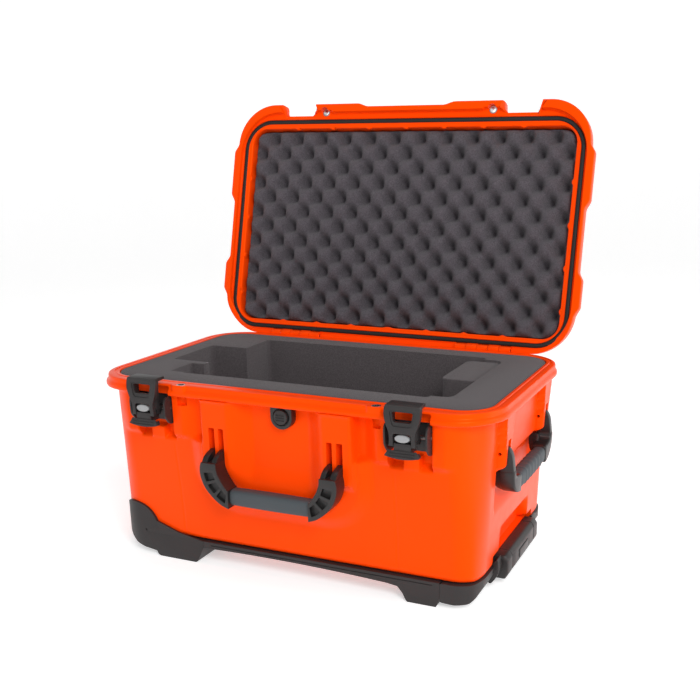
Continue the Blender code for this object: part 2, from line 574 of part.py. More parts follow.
def arm_outline(side, pivot_in, pivot_out, top, bend, grip_x, grip_top, grip_bottom):
    """Inner and outer edge of an arm in the plane of the handle; it curves in towards the grip."""
    inner = [(pivot_in, top), (pivot_in, bend), (grip_x, grip_top)]
    outer = [(pivot_out, top), (pivot_out, bend)]
    steps = 6
    for i in range(1, steps + 1):
        t = math.radians(90 * i / steps)
        outer.append((grip_x + (pivot_out - grip_x) * math.cos(t), bend + (grip_bottom - bend) * math.sin(t)))
    return [(side * a, b) for a, b in inner], [(side * a, b) for a, b in outer]


def build_front_handle():
    pin_y, pin_z = FRONT_PIVOT
    axis = axis_empty("front_handle_axis", (0.0, pin_y, rz(pin_z)), FRAME)
    low, high = -0.2100, -0.1884
    core_y, core_z = -0.1990, -0.1410
    frame = rod("core", 0.0060, (-0.070, core_y, rz(core_z)), (0.070, core_y, rz(core_z)), 16)
    solids = []
    for side in (-1, 1):
        inner, outer = arm_outline(side, 0.0775, 0.0995, rz(-0.1060), rz(-0.1150), GRIP_HALF,
                                   rz(-0.1290), rz(-0.1540))
        solids.append(handle_arm("arm", inner, outer, low, high))
        for prong_in, prong_out in SLOTS:
            x_low, x_high = mirrored(side, prong_in + 0.0005, prong_out - 0.0005)
            solids.append(box("prong", (x_low, low, rz(-0.1080)), (x_high, -0.1885, rz(-0.0840))))
            solids.append(box("tongue", (x_low, -0.1900, rz(-0.0960)), (x_high, pin_y, rz(-0.0840))))
            solids.append(rod("eye", 0.0060, (x_low, pin_y, rz(pin_z)), (x_high, pin_y, rz(pin_z)), 20))
    combine(frame, "UNION", solids)
    combine(frame, "DIFFERENCE", [rod("pin_bore", 0.0022 + GAP, (side * 0.070, pin_y, rz(pin_z)),
                                      (side * 0.112, pin_y, rz(pin_z)), 16) for side in (-1, 1)])
    finish(frame, "front_handle_frame", "black_plastic", axis, smooth=True)
    grip = slab("grip", 0.0127, -0.0118, 0.0118, -GRIP_HALF + 0.0004, GRIP_HALF - 0.0004, 0.0095, segments=4)
    grip.data.transform(Matrix.Translation((0.0, core_y, rz(core_z))) @ Matrix.Rotation(math.pi / 2, 4, "Y"))
    combine(grip, "DIFFERENCE", [rod("grip_bore", 0.0063, (-0.080, core_y, rz(core_z)),
                                     (0.080, core_y, rz(core_z)), 16)])
    finish(grip, "front_handle_grip", "soft_grip", axis, smooth=True)
    for side, word in ((-1, "left"), (1, "right")):
        pin = rod("pin", 0.0019, (side * (PILLAR_IN - 0.0015), pin_y, rz(pin_z)),
                  (side * 0.1070, pin_y, rz(pin_z)), 16)
        finish(pin, f"front_handle_pin_{word}", "steel", FRAME, smooth=True)


def build_side_handle(side, word):
    pin_x, pin_z = SIDE_PIVOT
    axis = axis_empty(f"{word}_handle_axis", (side * pin_x, 0.0, rz(pin_z)), FRAME)
    low, high = mirrored(side, 0.2800, 0.3030)
    core_x, core_z = side * 0.2925, -0.1190
    frame = rod("core", 0.0055, (core_x, -0.070, rz(core_z)), (core_x, 0.070, rz(core_z)), 16)
    solids = []
    for end in (-1, 1):
        inner, outer = arm_outline(end, 0.0880, 0.0990, rz(-0.0960), rz(-0.0990), GRIP_HALF,
                                   rz(-0.1070), rz(-0.1310))
        solids.append(handle_arm("arm", inner, outer, low, high, axis="X"))
        y_low, y_high = mirrored(end, POST_Y - 0.0050, POST_Y + 0.0050)
        x_low, x_high = mirrored(side, 0.2815, 0.2905)
        solids.append(box("tongue", (x_low, y_low, rz(-0.1000)), (x_high, y_high, rz(-0.0670))))
        solids.append(rod("eye", 0.0065, (side * pin_x, y_low, rz(pin_z)), (side * pin_x, y_high, rz(pin_z)), 20))
        inner_low, inner_high = mirrored(side, 0.2705, 0.2820)
        cheek = [(end * 0.0990, rz(-0.0990)), (end * 0.0880, rz(-0.0990)), (end * 0.0790, rz(-0.1250)),
                 (end * 0.0900, rz(-0.1210))]
        solids.append(extrude_outline("cheek", cheek, "X", inner_low, inner_high))
    combine(frame, "UNION", solids)
    combine(frame, "DIFFERENCE", [rod("pin_bore", 0.0022 + GAP, (side * pin_x, end * 0.080, rz(pin_z)),
                                      (side * pin_x, end * 0.110, rz(pin_z)), 16) for end in (-1, 1)])
    finish(frame, f"{word}_handle_frame", "black_plastic", axis, smooth=True)
    grip = slab("grip", 0.0118, -0.0125, 0.0125, -GRIP_HALF + 0.0004, GRIP_HALF - 0.0004, 0.0095, segments=4)
    grip.data.transform(Matrix.Translation((core_x, 0.0, rz(core_z))) @ Matrix.Rotation(math.pi / 2, 4, "X"))
    combine(grip, "DIFFERENCE", [rod("grip_bore", 0.0058, (core_x, -0.080, rz(core_z)),
                                     (core_x, 0.080, rz(core_z)), 16)])
    finish(grip, f"{word}_handle_grip", "soft_grip", axis, smooth=True)
    for end, place in ((-1, "front"), (1, "back")):
        pin = rod("pin", 0.0019, (side * pin_x, end * POST_Y - 0.0098, rz(pin_z)),
                  (side * pin_x, end * POST_Y + 0.0130, rz(pin_z)), 16)
        finish(pin, f"{word}_handle_pin_{place}", "steel", FRAME, smooth=True)


# ---------------------------------------------------------------- undercarriage and wheels
def skid_envelope(name):
    """Rounded plan of the undercarriage, which trims each of its pieces."""
    return slab(name, SKID_X, -SKID_Y, SKID_Y, rz(-0.2700), rz(-0.1700), SKID_R)


def build_wheel_housing(side, word):
    x, z = WHEEL
    skirt = [(-0.1340, rz(-0.2283)), (-0.1340, rz(-0.2450)), (-0.1500, 0.0), (-0.2080, 0.0),
             (-0.2180, rz(-0.2550)), (-0.2600, rz(-0.2520)), (-0.2760, rz(-0.2420)), (-0.2850, rz(-0.2280)),
             (-0.2850, rz(-0.2043)), (-0.2500, rz(-0.2043)), (-0.2300, rz(-0.2283))]
    y_low, y_high = mirrored(side, 0.0990, 0.1700)
    housing = extrude_outline("housing", skirt, "Y", y_low, y_high)
    combine(housing, "UNION", [rod("arch", ARCH_R - GAP, (x, y_low, rz(z)), (x, y_high, rz(z)), 40)])
    combine(housing, "INTERSECT", [skid_envelope("plan")])
    w_low, w_high = mirrored(side, WHEEL_IN - 0.0015, WHEEL_OUT + 0.0015)
    combine(housing, "DIFFERENCE", [
        rod("wheel_room", WHEEL_R + 0.0020, (x, w_low, rz(z)), (x, w_high, rz(z)), 40),
        box("wheel_mouth", (-0.300, w_low, rz(-0.2750)), (x, w_high, rz(-0.2120))),
        box("wheel_floor", (-0.300, w_low, rz(-0.2750)), (x + 0.0360, w_high, rz(z))),
        box("heel_trim", (-0.300, y_low - 0.010, rz(-0.2750)), (-0.2160, y_high + 0.010, rz(-0.2540))),
        rod("axle_bore", AXLE_R + GAP, (x, side * 0.0980, rz(z)), (x, side * 0.1520, rz(z)), 20)])
    finish(housing, f"wheel_housing_{word}", "dark_plastic", FRAME, smooth=True)


def build_rail(side, word):
    outline = [(-0.1337, rz(-0.2283)), (-0.1337, rz(-0.2455)), (0.0000, rz(-0.2440)), (0.1000, rz(-0.2450)),
               (0.1550, rz(-0.2490)), (0.1740, rz(-0.2580)), (0.1790, 0.0), (0.2210, 0.0),
               (0.2250, rz(-0.2580)), (0.2250, rz(-0.2283))]
    rail = extrude_outline("rail", outline, "Y", *mirrored(side, 0.1350, 0.1700))
    combine(rail, "INTERSECT", [skid_envelope("plan")])
    finish(rail, f"bottom_rail_{word}", "dark_plastic", FRAME, smooth=True)


def build_end_bracket(side, word):
    outline = [(0.2253, rz(-0.2283)), (0.2253, rz(-0.2560)), (0.2600, rz(-0.2560)), (0.2760, rz(-0.2480)),
               (0.2850, rz(-0.2350)), (0.2850, rz(-0.2283))]
    bracket = extrude_outline("bracket", outline, "Y", *mirrored(side, 0.0765, 0.1700))
    y_low, y_high = mirrored(side, 0.0765, 0.0930)
    ear = [(0.2640, rz(-0.2340)), (0.2660, rz(-0.2560)), (0.2760, rz(-0.2590)), (0.2850, rz(-0.2500)),
           (0.2885, rz(-0.2400)), (0.2885, rz(-0.2250)), (0.2850, rz(-0.2200)), (0.2846, rz(-0.2200)),
           (0.2846, rz(-0.2280))]
    combine(bracket, "INTERSECT", [skid_envelope("plan")])
    combine(bracket, "UNION", [extrude_outline("ear", ear, "Y", y_low, y_high)])
    finish(bracket, f"end_bracket_{word}", "dark_plastic", FRAME, smooth=True)


def build_wheel(side, word):
    x, z = WHEEL
    axis = axis_empty(f"wheel_axis_{word}", (x, side * (WHEEL_IN + WHEEL_OUT) / 2, rz(z)), FRAME)
    low, high = mirrored(side, WHEEL_IN, WHEEL_OUT)
    rings = (("wheel_tyre", HUB_R + GAP, WHEEL_R, 0.0035, 0.0, "tyre_rubber", 40),
             ("wheel_hub", BUSH_R + GAP, HUB_R, 0.0010, 0.0008, "dark_plastic", 32),
             ("wheel_bush", AXLE_R + GAP, BUSH_R, 0.0004, 0.0002, "steel", 24))
    for name, inner, outer, chamfer, trim, material, sides in rings:
        ring = turned_ring(name, inner, outer, low + trim, high - trim, chamfer, sides)
        ring.location += Vector((x, 0.0, rz(z)))
        finish(ring, f"{name}_{word}", material, axis, smooth=True)
    axle = rod("axle", AXLE_R, (x, side * 0.0985, rz(z)), (x, side * 0.1515, rz(z)), 20)
    finish(axle, f"wheel_axle_{word}", "steel", FRAME, smooth=True)


# ---------------------------------------------------------------- pull handle
def tube_blocks(name, half_y, half_z, x_low, x_high):
    """Pair of rectangular bars along X, where the two tubes of a stage run."""
    return [box(name, (x_low, side * TUBE_Y - half_y, rz(TUBE_Z - half_z)),
                (x_high, side * TUBE_Y + half_y, rz(TUBE_Z + half_z))) for side in (-1, 1)]


def build_pull_handle():
    """Two-stage pull handle: a tray with two channels, sliding outer tubes, inner tubes with the grip."""
    outer_stage = axis_empty("pull_stage_axis", (0.2600, 0.0, rz(TUBE_Z)), FRAME)
    inner_stage = axis_empty("pull_grip_axis", (0.2640, 0.0, rz(TUBE_Z)), outer_stage)
    button_axis = axis_empty("pull_button_axis", (0.2890, 0.0, rz(TUBE_Z)), inner_stage)
    tray = box("tray", (-0.2000, -0.0630, rz(-0.2312)), (0.2590, 0.0630, rz(-0.2284)))
    combine(tray, "UNION", tube_blocks("channel", 0.0120, 0.0095, -0.2150, 0.2590))
    combine(tray, "DIFFERENCE", tube_blocks("channel_bore", 0.0103, 0.0078, -0.2200, 0.2650))
    finish(tray, "pull_handle_channels", "black_plastic", FRAME)
    yoke = box("yoke", (0.2594, -0.0500, rz(TUBE_Z - 0.0060)), (0.2625, 0.0500, rz(TUBE_Z + 0.0060)))
    combine(yoke, "UNION", tube_blocks("outer_tube", 0.0100, 0.0075, -0.2100, 0.2610))
    combine(yoke, "DIFFERENCE", tube_blocks("outer_bore", 0.0085, 0.0060, -0.2200, 0.2700))
    finish(yoke, "pull_handle_outer_tubes", "alloy", outer_stage)
    bars = tube_blocks("inner_tube", 0.0082, 0.0057, -0.2050, 0.2750)
    bores = tube_blocks("inner_bore", 0.0068, 0.0043, -0.2100, 0.2800)
    for tube, bore, word in zip(bars, bores, ("front", "back")):
        combine(tube, "DIFFERENCE", [bore])
        finish(tube, f"pull_handle_inner_tube_{word}", "alloy", inner_stage)
    outline = [(0.2660, rz(-0.2290)), (0.2700, rz(-0.2220)), (0.2840, rz(-0.2220)), (0.2895, rz(-0.2290)),
               (0.2895, rz(-0.2500)), (0.2840, rz(-0.2575)), (0.2700, rz(-0.2575)), (0.2660, rz(-0.2500))]
    grip = extrude_outline("pull_grip", outline, "Y", -PULL_HALF_Y, PULL_HALF_Y)
    room = box("button_room", (0.2790, -0.0220, rz(TUBE_Z - 0.0065)), (0.3000, 0.0220, rz(TUBE_Z + 0.0065)))
    combine(grip, "DIFFERENCE", [room, *tube_blocks("tube_socket", 0.0085, 0.0060, 0.2500, 0.2753)])
    finish(grip, "pull_handle_grip", "dark_plastic", inner_stage)
    button = box("button", (0.2825, -0.0215, rz(TUBE_Z - 0.0060)), (0.2905, 0.0215, rz(TUBE_Z + 0.0060)))
    bevel = button.modifiers.new("Edges", "BEVEL")
    bevel.width = 0.0012
    bevel.segments = 2
    finish(button, "pull_handle_button", "button_grey", button_axis)


# ---------------------------------------------------------------- assembly
build_base_shell()
build_base_foam()
build_valve()
build_eyelets()
build_hinge_pins()
build_lid_shell()
build_gasket()
build_lid_foam()
for SIDE, WORD in ((-1, "left"), (1, "right")):
    build_latch(SIDE, WORD)
    build_side_handle(SIDE, WORD)
build_front_handle()
for SIDE, WORD in ((-1, "front"), (1, "back")):
    build_wheel_housing(SIDE, WORD)
    build_rail(SIDE, WORD)
    build_end_bracket(SIDE, WORD)
    build_wheel(SIDE, WORD)
build_pull_handle()
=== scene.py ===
"""Looks of the wheeled hard case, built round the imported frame.

Shapes are modelled in the case's own coordinates: X and Y from the middle of the base, Z from
the rim, the lid as if it were shut. put() moves each piece to its place in the frame.
"""
import json
import math

import bmesh
import bpy
import numpy as np
from mathutils import Matrix, Vector


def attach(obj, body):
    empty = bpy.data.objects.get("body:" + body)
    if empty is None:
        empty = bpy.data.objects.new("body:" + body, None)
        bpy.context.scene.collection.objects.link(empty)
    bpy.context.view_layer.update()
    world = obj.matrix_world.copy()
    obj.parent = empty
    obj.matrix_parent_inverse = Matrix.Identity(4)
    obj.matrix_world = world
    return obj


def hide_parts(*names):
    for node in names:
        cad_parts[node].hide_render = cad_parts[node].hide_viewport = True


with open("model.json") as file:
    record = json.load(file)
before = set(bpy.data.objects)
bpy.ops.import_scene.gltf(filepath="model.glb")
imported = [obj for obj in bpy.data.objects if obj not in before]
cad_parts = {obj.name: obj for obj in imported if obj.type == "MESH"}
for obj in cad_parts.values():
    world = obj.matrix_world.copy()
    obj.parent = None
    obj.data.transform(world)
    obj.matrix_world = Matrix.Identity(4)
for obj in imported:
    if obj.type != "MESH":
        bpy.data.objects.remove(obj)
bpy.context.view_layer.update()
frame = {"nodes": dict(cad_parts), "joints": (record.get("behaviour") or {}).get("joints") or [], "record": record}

# ---------------------------------------------------------------- places taken from the frame
JOINTS = {joint["name"]: joint for joint in frame["joints"]}
HINGE = Vector(JOINTS["lid_hinge"]["pos_m"])
LID_OPEN = math.radians(JOINTS["lid_hinge"]["range_deg"][1])
HINGE_Y = 0.183                                  # hinge axis behind the middle of the base
TO_FRAME = Matrix.Translation((0.0, HINGE.y - HINGE_Y, HINGE.z))
TO_LID = (TO_FRAME @ Matrix.Translation((0.0, HINGE_Y, 0.0)) @ Matrix.Rotation(-LID_OPEN, 4, "X")
          @ Matrix.Translation((0.0, -HINGE_Y, 0.0)))
FLOOR = -HINGE.z                                 # the floor, from the rim

# outlines: half length, front, back, corner radius
CAVITY = (0.2805, -0.1625, 0.1625, 0.042)
TIER = (0.2965, -0.1845, 0.177, 0.0665)
FLANGE = (0.3, -0.188, 0.178, 0.07)
WALL = (0.284, -0.166, 0.166, 0.0455)
SKID = (0.2835, -0.1675, 0.1675, 0.044)
HOLLOW = (0.28, -0.161, 0.161, 0.026)
GASKET = (0.291, -0.172, 0.172, 0.046)
SEAT = (0.2977, -0.1857, 0.179, 0.0677)
LIP = (0.303, -0.199, 0.185, 0.066)
DOME = (0.296, -0.186, 0.176, 0.058)
BODY_DEPTH = 0.228
SKIRT = 0.004                                    # how far the tub's edge hangs below its floor
END_TAPER = 0.0085                               # how far the ends are drawn in at the floor
DRAFT = math.tan(math.radians(0.8))
SEAL = 0.0015                                    # plane that the lid's seal presses on
LATCH_X = 0.19
LATCH_PIN = (-0.181, -0.034)                     # y, z of the pin between bracket and lever
CLAW_PIN = (-0.191, -0.036)                      # y, z of the pin between lever and claw
CLAW_SWING = 0.0174                              # room that the claw's feet need round their pin
NOTCH_X = 0.1925                                 # middle of the lid's notch for a latch
LIP_FRONT = -0.199
EYELET_X, EYELET_Y = 0.1445, -0.1795
LUG_Y = -0.1874                                  # front of the lugs round the padlock holes
SLOTS = ((0.077, 0.085), (0.091, 0.1))           # slots for the prongs of the front handle
FRONT_PIN = (-0.18, -0.09)
VALVE_X, VALVE_Z = 0.0085, -0.03
POST_Y = 0.0935                                  # posts that carry a side handle
SIDE_PIN_X, SIDE_PIN_Z = 0.286, -0.069
WHEEL = (-0.25, -0.228)
SKID_TOP = -0.2323                               # seam between the tub and the undercarriage
TUBE_Z = -0.24


# ---------------------------------------------------------------- camera, floor and lights
def aim(obj, forward, roll=0.0):
    turn = Vector(forward).to_track_quat("-Z", "Y").to_matrix().to_4x4()
    obj.matrix_world = Matrix.Translation(obj.location) @ turn @ Matrix.Rotation(roll, 4, "Z")


def make_camera():
    azimuth, pitch, roll = math.radians(23.4), math.radians(16.3), math.radians(-0.5)
    camera = bpy.data.objects.new("camera", bpy.data.cameras.new("camera"))
    bpy.context.scene.collection.objects.link(camera)
    camera.data.lens, camera.data.sensor_width = 50.1, 36.0
    camera.data.shift_x, camera.data.shift_y = -0.057, 0.1
    camera.location = TO_FRAME @ Vector((0.622, -1.24, 0.321))
    forward = (-math.sin(azimuth) * math.cos(pitch), math.cos(azimuth) * math.cos(pitch), -math.sin(pitch))
    aim(camera, forward, roll)
    bpy.context.scene.camera = camera


def area_light(name, place, target, size, power, colour=(1.0, 1.0, 1.0)):
    light = bpy.data.objects.new(name, bpy.data.lights.new(name, "AREA"))
    bpy.context.scene.collection.objects.link(light)
    light.data.shape = "RECTANGLE"
    light.data.size, light.data.size_y = size
    light.data.energy = power
    light.data.color = colour
    light.location = place
    aim(light, Vector(target) - Vector(place))


STUDIO_PROFILE = ((0.0005, 0.0), (4.0, 0.0), (5.2, 0.25), (6.0, 1.0), (6.2, 2.0))     # radius, height


def make_studio():
    """White turned floor that rises to a low wall, even light all round, and three soft lights."""
    turns = np.linspace(0, 2 * math.pi, 96)[:-1]
    floor = loft("floor", [[(r * math.cos(a), r * math.sin(a), z) for a in turns] for r, z in STUDIO_PROFILE])
    top = max(floor.data.polygons, key=lambda face: face.center.z * len(face.vertices))
    bm = bmesh.new()
    bm.from_mesh(floor.data)
    bm.faces.ensure_lookup_table()
    bmesh.ops.delete(bm, geom=[bm.faces[top.index]], context="FACES_ONLY")
    bmesh.ops.reverse_faces(bm, faces=bm.faces)
    bm.to_mesh(floor.data)
    bm.free()
    surface = bpy.data.materials.new("floor_white")
    surface.use_nodes = True
    shader = surface.node_tree.nodes["Principled BSDF"]
    shader.inputs["Base Color"].default_value = (0.8, 0.8, 0.8, 1.0)
    shader.inputs["Roughness"].default_value = 0.9
    shader.inputs["Specular IOR Level"].default_value = 0.1
    shader.inputs["Emission Color"].default_value = (1.0, 1.0, 1.0, 1.0)
    shader.inputs["Emission Strength"].default_value = 0.5
    floor.data.materials.append(surface)
    floor.data.shade_smooth()
    world = bpy.data.worlds.new("studio")
    bpy.context.scene.world = world
    world.use_nodes = True
    world.node_tree.nodes["Background"].inputs["Color"].default_value = (1.0, 1.0, 1.0, 1.0)
    world.node_tree.nodes["Background"].inputs["Strength"].default_value = 0.42
    area_light("key", (1.7, -2.1, 2.0), (0.0, 0.0, 0.25), (1.1, 1.1), 58.0)
    area_light("right_panel", (2.4, 0.3, 1.0), (0.25, 0.0, 0.2), (0.9, 1.6), 17.0)
    area_light("top", (-0.2, 0.3, 2.6), (0.0, 0.0, 0.2), (1.8, 1.4), 7.0)


# ---------------------------------------------------------------- materials
def node_material(name):
    material = bpy.data.materials.new("look_" + name)
    material.use_nodes = True
    nodes, links = material.node_tree.nodes, material.node_tree.links
    return material, nodes, links, nodes["Principled BSDF"]


def noise(nodes, links, coordinates, scale, detail=3.0, kind="ShaderNodeTexNoise"):
    texture = nodes.new(kind)
    texture.inputs["Scale"].default_value = scale
    if "Detail" in texture.inputs:
        texture.inputs["Detail"].default_value = detail
    links.new(coordinates.outputs["Object"], texture.inputs["Vector"])
    return texture


def spread(nodes, links, socket, low, high):
    """Map a texture's middle range to low..high."""
    mapped = nodes.new("ShaderNodeMapRange")
    for name, value in (("From Min", 0.3), ("From Max", 0.7), ("To Min", low), ("To Max", high)):
        mapped.inputs[name].default_value = value
    links.new(socket, mapped.inputs["Value"])
    return mapped.outputs["Result"]


def tint(nodes, links, shader, socket, colour, variation, edge):
    """Base colour that runs from a little darker to a little lighter over a texture's middle range."""
    ramp = nodes.new("ShaderNodeValToRGB")
    ramp.color_ramp.elements[0].position, ramp.color_ramp.elements[1].position = edge, 1 - edge
    for element, share in zip(ramp.color_ramp.elements, (1 - variation, 1 + variation)):
        element.color = (*[min(1.0, c * share) for c in colour], 1.0)
    links.new(socket, ramp.inputs["Fac"])
    links.new(ramp.outputs["Color"], shader.inputs["Base Color"])


def bump(nodes, links, shader, socket, strength, distance):
    relief = nodes.new("ShaderNodeBump")
    relief.inputs["Strength"].default_value = strength
    relief.inputs["Distance"].default_value = distance
    links.new(socket, relief.inputs["Height"])
    links.new(relief.outputs["Normal"], shader.inputs["Normal"])


def moulded(name, colour, roughness, grain_scale, grain, variation=0.06, specular=0.5, metallic=0.0,
            gloss=(1.0, 1.0, 1.0)):
    """Moulded plastic, rubber or metal: slow colour drift, uneven gloss and a fine grain."""
    material, nodes, links, shader = node_material(name)
    place = nodes.new("ShaderNodeTexCoord")
    drift = noise(nodes, links, place, 7.0)
    tint(nodes, links, shader, drift.outputs["Fac"], colour, variation, 0.3)
    scuff = noise(nodes, links, place, 45.0, 2.0)
    links.new(spread(nodes, links, scuff.outputs["Fac"], roughness - 0.02, roughness + 0.04),
              shader.inputs["Roughness"])
    texture = noise(nodes, links, place, grain_scale, 2.0)
    bump(nodes, links, shader, texture.outputs["Fac"], grain, 0.0004)
    shader.inputs["Specular IOR Level"].default_value = specular
    shader.inputs["Specular Tint"].default_value = (*gloss, 1.0)
    shader.inputs["Metallic"].default_value = metallic
    return material


def foam_look(name, colour, cell_scale, depth):
    """Foam: a fine speckle in its tone and small cells in its surface."""
    material, nodes, links, shader = node_material(name)
    place = nodes.new("ShaderNodeTexCoord")
    cells = noise(nodes, links, place, cell_scale, kind="ShaderNodeTexVoronoi")
    speck = noise(nodes, links, place, cell_scale * 0.6, 5.0)
    tint(nodes, links, shader, speck.outputs["Fac"], colour, 0.28, 0.32)
    bump(nodes, links, shader, cells.outputs["Distance"], depth, 0.0012)
    shader.inputs["Roughness"].default_value = 0.95
    shader.inputs["Specular IOR Level"].default_value = 0.15
    shader.inputs["Sheen Weight"].default_value = 0.12
    return material


LOOKS = {
    "orange_shell": moulded("orange_shell", (0.93, 0.056, 0.0004), 0.32, 90.0, 0.02, 0.03, 0.3, 0.0,
                            (1.0, 0.34, 0.06)),
    "dark_plastic": moulded("dark_plastic", (0.02, 0.0175, 0.0175), 0.42, 700.0, 0.2, 0.12, 0.35),
    "black_plastic": moulded("black_plastic", (0.011, 0.01, 0.01), 0.34, 700.0, 0.15, 0.12, 0.45),
    "soft_grip": moulded("soft_grip", (0.054, 0.064, 0.071), 0.58, 900.0, 0.2, 0.08, 0.3),
    "seal_rubber": moulded("seal_rubber", (0.012, 0.012, 0.012), 0.62, 700.0, 0.15, 0.15, 0.3),
    "steel": moulded("steel", (0.62, 0.62, 0.63), 0.26, 300.0, 0.05, 0.04, 0.5, 1.0),
    "dark_steel": moulded("dark_steel", (0.16, 0.155, 0.15), 0.34, 300.0, 0.05, 0.06, 0.5, 1.0),
    "button_grey": moulded("button_grey", (0.27, 0.275, 0.28), 0.36, 900.0, 0.1, 0.05),
    "tyre_rubber": moulded("tyre_rubber", (0.018, 0.018, 0.018), 0.74, 600.0, 0.3, 0.15, 0.3),
    "alloy": moulded("alloy", (0.56, 0.57, 0.59), 0.3, 350.0, 0.08, 0.05, 0.5, 1.0),
    "base_foam": foam_look("base_foam", (0.078, 0.067, 0.07), 1100.0, 0.5),
    "lid_foam": foam_look("lid_foam", (0.082, 0.072, 0.082), 800.0, 0.6),
}


# ---------------------------------------------------------------- mesh helpers
def new_object(name, bm):
    mesh = bpy.data.meshes.new(name)
    bm.to_mesh(mesh)
    bm.free()
    obj = bpy.data.objects.new(name, mesh)
    bpy.context.scene.collection.objects.link(obj)
    return obj


def mesh_object(name, verts, faces):
    bm = bmesh.new()
    made = [bm.verts.new(v) for v in verts]
    for face in faces:
        bm.faces.new([made[i] for i in face])
    bmesh.ops.recalc_face_normals(bm, faces=bm.faces)
    return new_object(name, bm)


def tube_faces(rows, count, closed=True):
    """Faces of rows of points that are joined in order; the first and last rows are capped."""
    faces = [(low + i, low + (i + 1) % count, low + count + (i + 1) % count, low + count + i)
             for low in range(0, (rows - 1) * count, count) for i in range(count)]
    if closed:
        faces += [tuple(range(count))[::-1], tuple((rows - 1) * count + i for i in range(count))]
    else:
        last = (rows - 1) * count
        faces += [(last + i, last + (i + 1) % count, (i + 1) % count, i) for i in range(count)]
    return faces


def loft(name, sections, closed=True):
    """Solid through sections with the same number of points; not closed means a ring of sections."""
    count = len(sections[0])
    verts = np.concatenate([np.asarray(s, float) for s in sections])
    return mesh_object(name, verts.tolist(), tube_faces(len(sections), count, closed))


def box(name, low, high):
    low, high = Vector(low), Vector(high)
    bm = bmesh.new()
    size = Matrix.Diagonal((high - low).to_4d())
    size[3][3] = 1.0
    bmesh.ops.create_cube(bm, size=1.0, matrix=Matrix.Translation((low + high) / 2) @ size)
    return new_object(name, bm)


def rod(name, radius, start, end, sides=32):
    start, end = Vector(start), Vector(end)
    along = end - start
    bm = bmesh.new()
    matrix = Matrix.Translation((start + end) / 2) @ along.to_track_quat("Z", "Y").to_matrix().to_4x4()
    bmesh.ops.create_cone(bm, cap_ends=True, segments=sides, radius1=radius, radius2=radius,
                          depth=along.length, matrix=matrix)
    return new_object(name, bm)


def plate(name, points, axis, low, high):
    """Flat outline pushed from low to high along X, Y or Z; points are in the other two axes."""
    def place(a, b, c):
        return {"X": (c, a, b), "Y": (a, c, b), "Z": (a, b, c)}[axis]

    return loft(name, [[place(a, b, low) for a, b in points], [place(a, b, high) for a, b in points]])


def arc(centre, radius, start, end, steps, squash=1.0):
    """Points from start to end in degrees; squash scales the second coordinate."""
    angles = [math.radians(start + (end - start) * i / steps) for i in range(steps + 1)]
    return [(centre[0] + radius * math.cos(t), centre[1] + squash * radius * math.sin(t)) for t in angles]


def rounded(points, radius, steps=5):
    """The same outline with each corner cut by a curve that starts radius away from it."""
    result = []
    for i, corner in enumerate(points):
        before, after = Vector(points[i - 1]), Vector(points[(i + 1) % len(points)])
        corner = Vector(corner)
        start = corner + (before - corner).normalized() * min(radius, (before - corner).length * 0.45)
        end = corner + (after - corner).normalized() * min(radius, (after - corner).length * 0.45)
        for k in range(steps + 1):
            t = k / steps
            point = start * (1 - t) ** 2 + corner * 2 * t * (1 - t) + end * t ** 2
            result.append((point.x, point.y))
    return result


def apply_modifiers(obj):
    bpy.context.view_layer.update()
    evaluated = obj.evaluated_get(bpy.context.evaluated_depsgraph_get())
    mesh = bpy.data.meshes.new_from_object(evaluated)
    obj.modifiers.clear()
    obj.data = mesh
    return obj


def combine(obj, operation, others):
    """Boolean of one object with several others, which are used up."""
    group = bpy.data.collections.new("operands")
    for other in others:
        group.objects.link(other)
    modifier = obj.modifiers.new("combine", "BOOLEAN")
    modifier.operation, modifier.solver = operation, "EXACT"
    modifier.operand_type, modifier.collection = "COLLECTION", group
    apply_modifiers(obj)
    for other in others:
        bpy.data.objects.remove(other)
    bpy.data.collections.remove(group)
    return obj


def union(obj, others):
    return combine(obj, "UNION", others)


def carve(obj, tools):
    return combine(obj, "DIFFERENCE", tools)


def soften(obj, width, segments=3, angle=30.0):
    """Round off the edges that turn by more than angle degrees."""
    bevel = obj.modifiers.new("edges", "BEVEL")
    bevel.width, bevel.segments = width, segments
    bevel.limit_method, bevel.angle_limit = "ANGLE", math.radians(angle)
    bevel.harden_normals = False
    return apply_modifiers(obj)


def put(obj, name, body, slot, replaces=(), lid=False, angle=38.0):
    """Name a piece, move it to its place in the frame, and give it its body and the look of its slot."""
    obj.name = obj.data.name = name
    obj.data.transform(TO_LID if lid else TO_FRAME)
    obj.data.materials.clear()
    obj.data.materials.append(LOOKS[slot])
    slot = "steel" if slot == "dark_steel" else slot             # dark steel is only a look of its own
    obj.data.shade_smooth()
    obj.data.set_sharp_from_angle(angle=math.radians(angle))
    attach(obj, body)
    if replaces:
        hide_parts(*replaces)
    return obj


def put_for(obj, node, suffix, body, slot, **more):
    """put() for a piece that stands for one node of the frame and is named after it."""
    return put(obj, f"{node}_{suffix}", body, slot, [node], **more)


def span(side, low, high):
    """A range on the side +1 or -1, lowest first."""
    return (low, high) if side > 0 else (-high, -low)


def smooth(value, low, high):
    """0 up to low, 1 from high on, and a soft step between them."""
    t = np.clip((value - low) / (high - low), 0.0, 1.0)
    return t * t * (3 - 2 * t)


def curve(points, steps=6):
    """Smooth open curve through the points."""
    points = [Vector(p) for p in points]
    points = [points[0] * 2 - points[1]] + points + [points[-1] * 2 - points[-2]]
    result = []
    for i in range(1, len(points) - 2):
        a, b, c, d = points[i - 1:i + 3]
        for k in range(steps):
            t = k / steps
            result.append(tuple((b * 2 + (c - a) * t + (a * 2 - b * 5 + c * 4 - d) * t ** 2
                                 + (b * 3 - a - c * 3 + d) * t ** 3) / 2))
    return result + [tuple(points[-2])]


